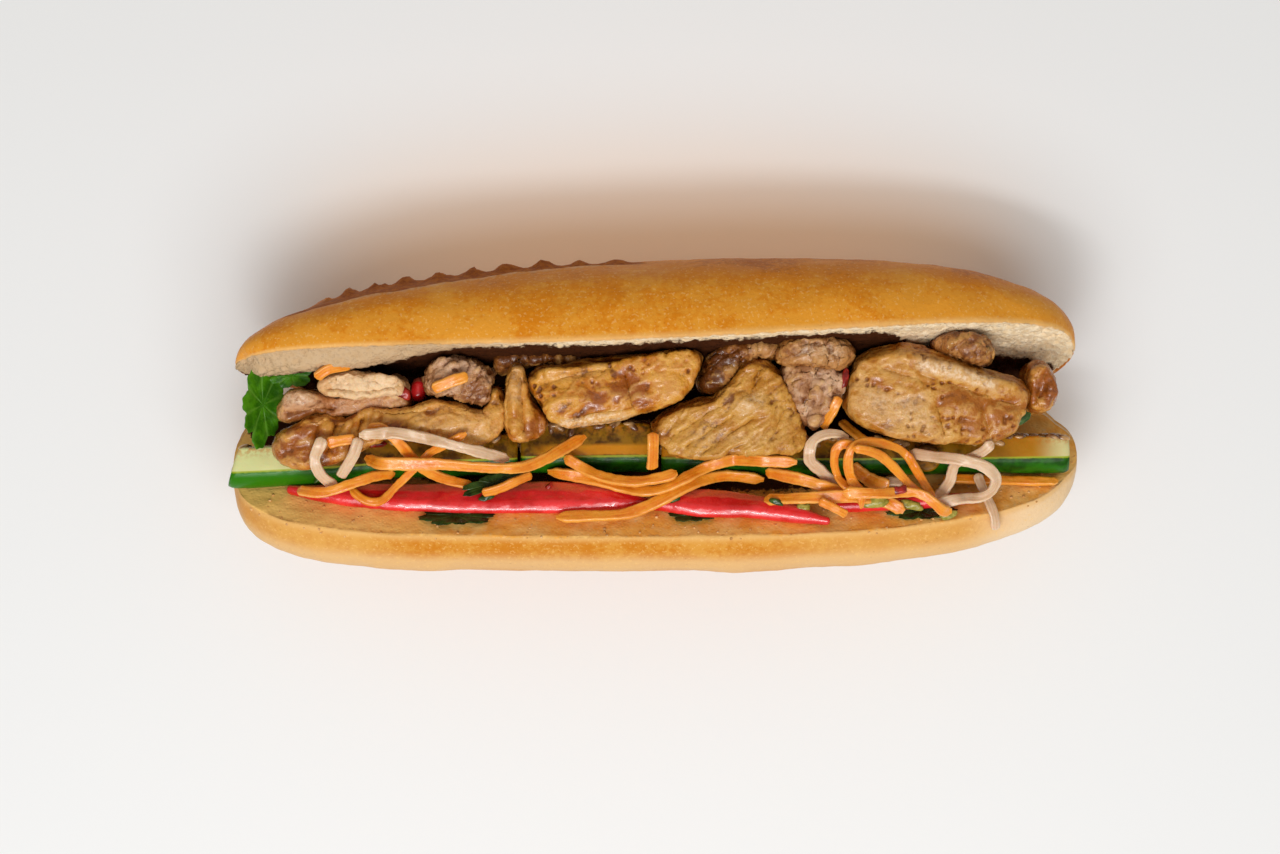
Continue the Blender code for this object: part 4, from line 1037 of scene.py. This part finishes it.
def wedge_tree():
    """An uneven, wet cut surface with flat seeds bedded along the core edge."""
    tree, wedge, size, end = open_tree(
        "cucumber wedge", Int=("Seed",),
        Float=("Unevenness", "Bead Height", "Seeds", "Seed Length", "Seed Width"),
        Material=("Flesh", "Seed Look"))
    here, core = position(tree), named(tree, "core")
    wave = (soft_noise(tree, 7.0, 2.0, place=here) - 0.5) * size["Unevenness"]
    bead = (soft_noise(tree, 2.8, 2.0, place=here, shift=0.4) - 0.5) * core * size["Bead Height"]
    fine = (soft_noise(tree, 1.3, 2.0, place=here, shift=0.7) - 0.5) * 0.12
    body = smoothed(tree, push_out(tree, wedge, wave + bead + fine))
    spread = add_node(tree, "GeometryNodeDistributePointsOnFaces",
                      {"Mesh": body, "Selection": core.math("GREATER_THAN", 0.4),
                       "Density": size["Seeds"], "Seed": size["Seed"]})
    grain = add_node(tree, "GeometryNodeMeshUVSphere", {"Segments": 10, "Rings": 6,
                                                        "Radius": 0.5 * MM})
    turn = add_node(tree, "FunctionNodeRandomValue", {2: -0.9, 3: 0.9, "Seed": size["Seed"]},
                    data_type="FLOAT")
    about = add_node(tree, "FunctionNodeEulerToRotation", {0: combined(tree, z=turn.outputs[1])})
    spin = add_node(tree, "FunctionNodeRotateRotation",
                    {"Rotation": spread.outputs["Rotation"], "Rotate By": about.outputs[0]},
                    rotation_space="LOCAL")
    scale = combined(tree, size["Seed Length"], size["Seed Width"], 1.1)
    seeds = add_node(tree, "GeometryNodeInstanceOnPoints",
                     {"Points": spread.outputs[0], "Instance": grain.outputs[0],
                      "Rotation": spin.outputs[0], "Scale": scale})
    both = add_node(tree, "GeometryNodeJoinGeometry")
    for part, look in ((smoothed(tree, seeds.outputs[0]), size["Seed Look"]),
                       (body, size["Flesh"])):
        dressed = add_node(tree, "GeometryNodeSetMaterial", {"Geometry": part, "Material": look})
        feed(tree, both.inputs[0], dressed.outputs[0])
    real = add_node(tree, "GeometryNodeRealizeInstances", {"Geometry": both.outputs[0]})
    feed(tree, end.inputs[0], real.outputs[0])
    return tree


def cucumber_material():
    made, tree, shader = material_tree("cucumber")
    place = object_place(tree)
    skin, core = read(tree, "skin"), read(tree, "core")
    cloud = soft_noise(tree, 5.0, 3.0, 0.6, place)
    fine = soft_noise(tree, 1.2, 3.0, 0.6, place, 0.3)
    run = separated(tree, place)[0]
    fresh = run.ramp(-0.080, -0.100)
    over = read(tree, "over") + (cloud - 0.5) * 1.2
    ridge = over.ramp(-0.9, -0.3) * over.ramp(2.6, 1.4) * run.ramp(-0.034, -0.026)
    ridge = ridge * run.ramp(0.012, 0.008)
    rind = painted(
        tree, (0.006, 0.048, 0.001), (cloud.ramp(0.35, 0.65), (0.020, 0.14, 0.002)),
        (fresh, (0.028, 0.18, 0.001)))
    colour = painted(
        tree, (0.075, 0.028, 0.001),
        ((cloud + (fine - 0.5) * 0.3).ramp(0.35, 0.65), (0.30, 0.14, 0.004)),
        (run.ramp(0.075, 0.100), (0.44, 0.185, 0.008)), (fresh, (0.66, 0.66, 0.30)),
        (run.ramp(0.098, 0.108), (0.66, 0.60, 0.28)),
        (core * fine.ramp(0.4, 0.6) * 0.65, (0.50, 0.15, 0.004)),
        (ridge * 0.85, (0.66, 0.25, 0.006)), (skin.ramp(0.30, 0.60), (0.36, 0.42, 0.02)),
        ((skin + (fine - 0.5) * 0.2).ramp(0.66, 0.9), rind))
    dress(tree, shader, {
        "Base Color": colour, "Roughness": fine.ramp(0.3, 0.7, 0.28, 0.48),
        "Specular IOR Level": 0.15, "Subsurface Weight": 0.15, "Subsurface Scale": 2.0 * MM,
        "Coat Weight": 0.08, "Coat Roughness": 0.12})
    bump(tree, shader, fine * 0.6 + cloud * 0.4, 0.25, 0.6)
    return made


def seed_material():
    made, tree, shader = material_tree("cucumber seed")
    tone = soft_noise(tree, 3.0, 2.0, 0.5, object_place(tree))
    colour = mix_colour(tree, tone.ramp(0.38, 0.62), (0.15, 0.05, 0.015), (0.60, 0.34, 0.13))
    dress(tree, shader, {"Base Color": colour, "Roughness": 0.22, "Coat Weight": 0.5})
    return made


cucumber_look, seed_look = cucumber_material(), seed_material()
wedge_surface = wedge_tree()
for order, (node, inner, slant, seeds) in enumerate((
        ("cucumber_spear_left", 5.2, 0.25, 3.0e4), ("cucumber_spear_middle", 7.4, 0.0, 1.6e5),
        ("cucumber_spear_right", 4.4, 0.0, 1.0e5))):
    spear = new_piece(node + "_look", spear_mesh(node, inner, slant))
    grow(wedge_surface, spear, {"Unevenness": 0.7, "Bead Height": 1.3, "Seeds": seeds,
                                "Seed Length": 3.6, "Seed Width": 1.7, "Seed": 11 + order,
                                "Flesh": cucumber_look, "Seed Look": seed_look})
    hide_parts(node)
    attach(spear, "root")

low, high = (np.array(corner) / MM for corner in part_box("cucumber_round_slice"))
middle, reach = (low + high) / 2.0, (high - low) / 2.0
around = 48
rings, skin, core = [], [], []
for level, share in ((-1.0, 0.3), (-1.0, 0.84), (-0.6, 0.98), (0.2, 1.0), (0.8, 0.93), (1.0, 0.8),
                     (0.9, 0.5), (1.05, 0.2)):
    rings.append([(middle[0] + reach[0] * share * math.cos(step * math.tau / around),
                   middle[1] + reach[1] * share * math.sin(step * math.tau / around),
                   middle[2] + reach[2] * level) for step in range(around)])
    skin += [0.0] * around
    core += [float(share < 0.6) * 0.5] * around
disc = new_piece("cucumber_round_look", ring_mesh("cucumber round", rings,
                                                  {"skin": skin, "core": core}))
disc.data.materials.append(cucumber_look)
disc.data.shade_smooth()
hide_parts("cucumber_round_slice")
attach(disc, "root")


# --- Red pepper -------------------------------------------------------------------------
# Long strips cut from the wall of a red pepper, lying skin up on the bottom half: glossy
# deep red skin, paler wet flesh along the cut edges.

def pepper_material():
    made, tree, shader = material_tree("red pepper")
    place = object_place(tree)
    cloud = soft_noise(tree, 9.0, 3.0, 0.55, place)
    fine = soft_noise(tree, 1.0, 3.0, 0.6, place, 0.2)
    skin_side = (0.0, -math.cos(BOTTOM_LEAN), math.sin(BOTTOM_LEAN))
    normal = add_node(tree, "ShaderNodeNewGeometry").outputs["Normal"]
    faced = Flow(tree, vector_math(tree, "DOT_PRODUCT", normal, skin_side))
    colour = painted(
        tree, (0.58, 0.005, 0.006), (cloud.ramp(0.35, 0.65), (0.86, 0.030, 0.032)),
        ((faced + (fine - 0.5) * 0.2).ramp(0.1, -0.2), (0.84, 0.13, 0.07)))
    dress(tree, shader, {
        "Base Color": colour, "Roughness": fine.ramp(0.3, 0.7, 0.24, 0.36),
        "Subsurface Weight": 0.1, "Subsurface Scale": 1.5 * MM, "Coat Weight": 0.6,
        "Coat Roughness": 0.10})
    bump(tree, shader, cloud * 0.8 + fine * 0.2, 0.6, 0.5)
    return made


pepper_look = pepper_material()
PEPPER_GRAIN = {**SKIN_GRAIN, "Lump Height": 0.45, "Wrinkle Height": 0.12,
                "Wrinkle Size": 9.0, "Fibre Height": 0.05, "Fibre Direction": (1.0, 0.0, 0.0),
                "Grain Height": 0.04, "Pore Depth": 0.0, "Tear": 0.0}
for order, node in enumerate(("pepper_strip_left", "pepper_strip_middle", "pepper_strip_right",
                              "pepper_piece_inner")):
    strip = solid_copy(node, cell_mm=0.35, rounds=8)
    work_surface(strip, 0.0)
    grow(meat_grain, strip, {**PEPPER_GRAIN, "Seed": 3.0 + order, "Material": pepper_look})
    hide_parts(node)
    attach(strip, "root")


# --- Coriander --------------------------------------------------------------------------
# Soft leaf blades with toothed lobes and pale veins, wilted and wet where they lie under
# the filling and fresh green at the left end. Each lies in the plane of its CAD blade.

def lobed_edge(turn, lobes):
    """How far the edge of a leaf lies from its middle: the outermost of its round lobes."""
    edge = 0.4
    for k in range(lobes):
        off = turn - math.tau * k / lobes
        reach = 0.72 + 0.08 * math.sin(2.1 * k + lobes)
        radius = 1.16 * reach * math.sin(math.pi / lobes)
        inside = radius ** 2 - (reach * math.sin(off)) ** 2
        if inside > 0.0 and math.cos(off) > 0.0:
            edge = max(edge, reach * math.cos(off) + math.sqrt(inside))
    return edge


def leaf_mesh(node, lobes, teeth, cup):
    """A closed thin blade: rings from its middle out to the toothed edge and back underneath.
    Its vein attribute marks the ribs."""
    spots = cad_points(node)
    middle = spots.mean(axis=0)
    _, _, axes = np.linalg.svd(spots - middle)
    along, across, out = axes
    out = out * np.sign(out[2])
    length, width = (np.abs((spots - middle) @ axis).max() for axis in (along, across))
    around, tooth_height, half_thickness = 216, 0.025, 0.2
    rings, vein = [], []
    for side, shares in ((half_thickness, (0.03, 0.15, 0.3, 0.45, 0.6, 0.75, 0.88, 0.96, 1.0)),
                         (-half_thickness, (1.0, 0.96, 0.75, 0.45, 0.15, 0.03))):
        for share in shares:
            ring = []
            for k in range(around):
                turn = math.tau * k / around
                edge = lobed_edge(turn, lobes) + tooth_height * math.sin(turn * lobes * teeth)
                edge = 1.0 + (edge - 1.0) * share
                u, v = length * share * edge * math.cos(turn), width * share * edge * math.sin(turn)
                rise = side * min(1.0, (1.02 - share) * 6.0) + cup * share * share
                ring.append(tuple(middle + along * u + across * v + out * rise))
                vein.append(abs(math.sin(turn * lobes / 2.0)) ** 18)
            rings.append(ring)
    return ring_mesh(node, rings, {"vein": vein})


def leaf_tree():
    """Curls and crinkles a blade; both of its sides move together."""
    tree, blade, size, end = open_tree(
        "leaf", Float=("Curl", "Curl Size", "Crinkle", "Vein Depth"), Material=("Material",))
    here = position(tree)
    wave = add_node(tree, "ShaderNodeTexNoise",
                    {"Vector": here, "Scale": per_metre(tree, size["Curl Size"]), "Detail": 1.0})
    crinkle = soft_noise(tree, 2.2, 2.0, place=here, shift=0.3)
    lift = (Flow(tree, wave.outputs[0]) - 0.5) * size["Curl"] + (crinkle - 0.5) * size["Crinkle"]
    lift = lift - named(tree, "vein") * size["Vein Depth"]
    curled = moved_by(tree, blade, combined(tree, z=lift * MM))
    close_tree(tree, smoothed(tree, curled), size["Material"], end)
    return tree


def leaf_material(name, dark, light, rib, wet):
    made, tree, shader = material_tree(name)
    place = object_place(tree)
    cloud = soft_noise(tree, 4.0, 3.0, 0.6, place)
    fine = soft_noise(tree, 0.6, 2.0, 0.6, place, 0.3)
    colour = painted(tree, dark, (cloud.ramp(0.35, 0.65), light), (read(tree, "vein") * 0.35, rib))
    dress(tree, shader, {"Base Color": colour, "Roughness": 0.5 - 0.3 * wet,
                         "Specular IOR Level": 0.2, "Coat Weight": 0.3 * wet,
                         "Coat Roughness": 0.12})
    bump(tree, shader, fine * 0.5 + cloud * 0.5, 0.3, 0.7)
    return made


fresh_leaf = leaf_material("fresh coriander", (0.022, 0.11, 0.001), (0.065, 0.23, 0.003),
                           (0.17, 0.36, 0.04), 0.4)
wilted_leaf = leaf_material("wilted coriander", (0.008, 0.022, 0.003), (0.035, 0.075, 0.010),
                            (0.07, 0.12, 0.02), 0.9)
leaf = leaf_tree()
for node, lobes, look, cup in (
        ("coriander_leaf_end", 8, fresh_leaf, 0.8), ("coriander_leaf_upper", 6, fresh_leaf, 0.4),
        ("coriander_leaf_face_left", 9, wilted_leaf, 0.3),
        ("coriander_leaf_face_middle", 7, wilted_leaf, 0.3),
        ("coriander_leaf_face_right", 9, wilted_leaf, 0.3),
        ("coriander_leaf_top", 7, wilted_leaf, 0.5)):
    blade = new_piece(node + "_look", leaf_mesh(node, lobes, 3, cup))
    grow(leaf, blade, {"Curl": 3.0, "Curl Size": 8.0, "Crinkle": 0.8, "Vein Depth": 0.15,
                       "Material": look})
    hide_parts(node)
    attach(blade, "root")


# --- Loose bits -------------------------------------------------------------------------
# What falls off while a roll is cut and filled: crumbs on the cut face, a few chopped bits
# of chilli, scraps of herb and cucumber among the shreds. They lie on whatever is below.

scene_graph = bpy.context.evaluated_depsgraph_get()
laid = [BVHTree.FromObject(thing, scene_graph) for thing in bpy.context.scene.objects
        if thing.type == "MESH" and (thing is roll or thing.name.endswith("_look"))]


def top_at(x, y):
    """Height in millimetres of the uppermost surface at a flat place."""
    above, down = Vector((x * MM, y * MM, 200.0 * MM)), Vector((0.0, 0.0, -1.0))
    found = [tree.ray_cast(above, down)[0] for tree in laid]
    return max((hit.z for hit in found if hit), default=0.0) / MM


def scrap(shape, x, y, length, width, turn, seed):
    """An uneven, flattened scrap lying level at a flat place."""
    made = bmesh.ops.create_icosphere(shape, subdivisions=3, radius=1.0)["verts"]
    level = top_at(x, y) + 0.3
    for vert in made:
        co = vert.co.copy()
        rough = 1.0 + 0.5 * noise.noise(co * 1.3 + Vector((seed, 0.0, 0.0)))
        u, v = co.x * length / 2.0 * rough, co.y * width / 2.0 * rough
        vert.co = Vector((x + u * math.cos(turn) - v * math.sin(turn),
                          y + u * math.sin(turn) + v * math.cos(turn),
                          level + co.z * 0.55 * rough)) * MM


def plain_material(name, first, second, roughness):
    made, tree, shader = material_tree(name)
    tone = soft_noise(tree, 2.0, 3.0, 0.6, object_place(tree))
    colour = mix_colour(tree, tone.ramp(0.35, 0.65), first, second)
    dress(tree, shader, {"Base Color": colour, "Roughness": roughness})
    bump(tree, shader, tone, 0.3, 0.6)
    return made


for name, slot_name, look, places in (
        ("chilli bits", "red_pepper",
         plain_material("chilli", (0.16, 0.006, 0.004), (0.42, 0.02, 0.010), 0.25),
         ((-72.5, -7.6, 5.0, 1.6, 0.1), (-65.0, 5.6, 4.2, 3.0, -0.5), (48.6, 9.5, 5.0, 1.8, 1.4),
          (62.4, -19.4, 4.4, 2.2, 0.2), (-28.0, -18.8, 3.0, 1.4, 0.9))),
        ("herb scraps", "coriander",
         plain_material("herb scrap", (0.010, 0.035, 0.003), (0.05, 0.11, 0.012), 0.3),
         ((94.5, -0.8, 5.2, 2.6, 0.6), (-44.0, -21.5, 4.0, 1.8, 0.4), (31.0, -22.5, 3.6, 1.6, 2.8),
          (4.8, -22.0, 3.2, 1.4, 0.3), (-88.0, -16.5, 3.0, 1.4, 1.0))),
        ("cucumber scraps", "cucumber",
         plain_material("cucumber scrap", (0.26, 0.22, 0.02), (0.46, 0.40, 0.08), 0.25),
         ((57.0, -22.5, 7.0, 3.0, 0.1), (66.5, -23.5, 6.0, 2.4, -0.2), (76.0, -26.0, 4.4, 2.0, 0.3),
          (38.0, -24.0, 4.0, 2.0, 0.0)))):
    shape = bmesh.new()
    for order, (x, y, length, width, turn) in enumerate(places):
        scrap(shape, x, y, length, width, turn, 3.1 * order)
    mesh = kept_mesh(shape, name)
    mesh.materials.append(look)
    mesh.shade_smooth()
    bits = new_piece(name.replace(" ", "_"), mesh)
    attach(bits, "root")


def crumb_tree():
    """Small angular crumbs of uneven size scattered on the upper, cut side of the bread."""
    tree, bread, size, end = open_tree(
        "crumbs", Int=("Seed",), Float=("Density", "Smallest", "Largest"),
        Material=("Material",))
    from_rim = named(tree, "deep")
    front = separated(tree, position(tree))[1].math("LESS_THAN", -6.0 * MM)
    chosen = from_rim.math("GREATER_THAN", -2.5) * from_rim.math("LESS_THAN", 16.0) * front
    spread = add_node(tree, "GeometryNodeDistributePointsOnFaces",
                      {"Mesh": bread, "Selection": chosen, "Density": size["Density"],
                       "Seed": size["Seed"]})
    grain = add_node(tree, "GeometryNodeMeshIcoSphere", {"Radius": 0.5 * MM, "Subdivisions": 2})
    rough = push_out(tree, grain.outputs[0], (soft_noise(tree, 0.5, 2.0) - 0.5) * 0.5)
    turn = add_node(tree, "FunctionNodeRandomValue", {0: (0.0, 0.0, 0.0), 1: (6.0, 6.0, 6.0),
                                                      "Seed": size["Seed"]},
                    data_type="FLOAT_VECTOR")
    scale = add_node(tree, "FunctionNodeRandomValue", {2: size["Smallest"], 3: size["Largest"],
                                                       "Seed": size["Seed"]}, data_type="FLOAT")
    laid_on = add_node(tree, "GeometryNodeInstanceOnPoints",
                       {"Points": spread.outputs[0], "Instance": rough,
                        "Rotation": turn.outputs[0], "Scale": scale.outputs[1]})
    close_tree(tree, laid_on.outputs[0], size["Material"], end)
    return tree


crumbs = new_piece("bread_crumbs", roll.data.copy())
grow(crumb_tree(), crumbs, {"Density": 50000.0, "Smallest": 0.2, "Largest": 0.9, "Seed": 5,
                            "Material": plain_material("crumb", (0.50, 0.22, 0.05),
                                                       (0.80, 0.48, 0.20), 0.8)})
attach(crumbs, "root")


# --- Table, light and camera ------------------------------------------------------------
# A plain white table, one large soft light and a small one from the front, a faint warm
# light behind the roll and a weak even fill.

def make_floor():
    shape = bmesh.new()
    bmesh.ops.create_grid(shape, x_segments=1, y_segments=1, size=1.5)
    table = new_piece("table", kept_mesh(shape, "table"))
    made, tree, shader = material_tree("white table")
    dress(tree, shader, {"Base Color": (0.855, 0.86, 0.865, 1.0), "Roughness": 0.7})
    table.data.materials.append(made)
    return table


make_floor()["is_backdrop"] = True


def soft_light(name, size, power, place, aim, colour):
    lamp = bpy.data.lights.new(name, "AREA")
    lamp.shape = "ELLIPSE"
    lamp.size, lamp.size_y = size
    lamp.energy = power
    lamp.color = colour
    made = bpy.data.objects.new(name, lamp)
    bpy.context.scene.collection.objects.link(made)
    made.location = place
    made.rotation_euler = (Vector(aim) - Vector(place)).to_track_quat("-Z", "Y").to_euler()


ROLL_MIDDLE = (0.0, 0.0, 0.03)
soft_light("key light", (1.30, 0.76), 8.9, (-0.03, -0.52, 1.06), ROLL_MIDDLE, (0.97, 0.985, 1.0))
soft_light("small light", (0.40, 0.10), 2.2, (-0.12, -0.42, 0.97), ROLL_MIDDLE, (1.0, 1.0, 1.0))
soft_light("warm card", (0.20, 0.04), 0.0070, (0.0, 0.052, 0.02), (0.0, 0.052, 0.0),
           (1.0, 0.46, 0.08))
world = bpy.data.worlds.new("studio")
world.use_nodes = True
world.node_tree.nodes["Background"].inputs[0].default_value = (1.0, 0.95, 0.87, 1.0)
world.node_tree.nodes["Background"].inputs[1].default_value = 0.35
bpy.context.scene.world = world
bpy.context.scene.view_settings.view_transform = "Standard"

CAMERA_PLACE = (-0.0042, -0.00314, 0.9736)
lens = bpy.data.cameras.new("camera")
lens.lens = 100.0
lens.sensor_width = 36.0
lens.clip_start = 0.01
camera = bpy.data.objects.new("camera", lens)
bpy.context.scene.collection.objects.link(camera)
camera.location = CAMERA_PLACE
bpy.context.scene.camera = camera

low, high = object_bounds()
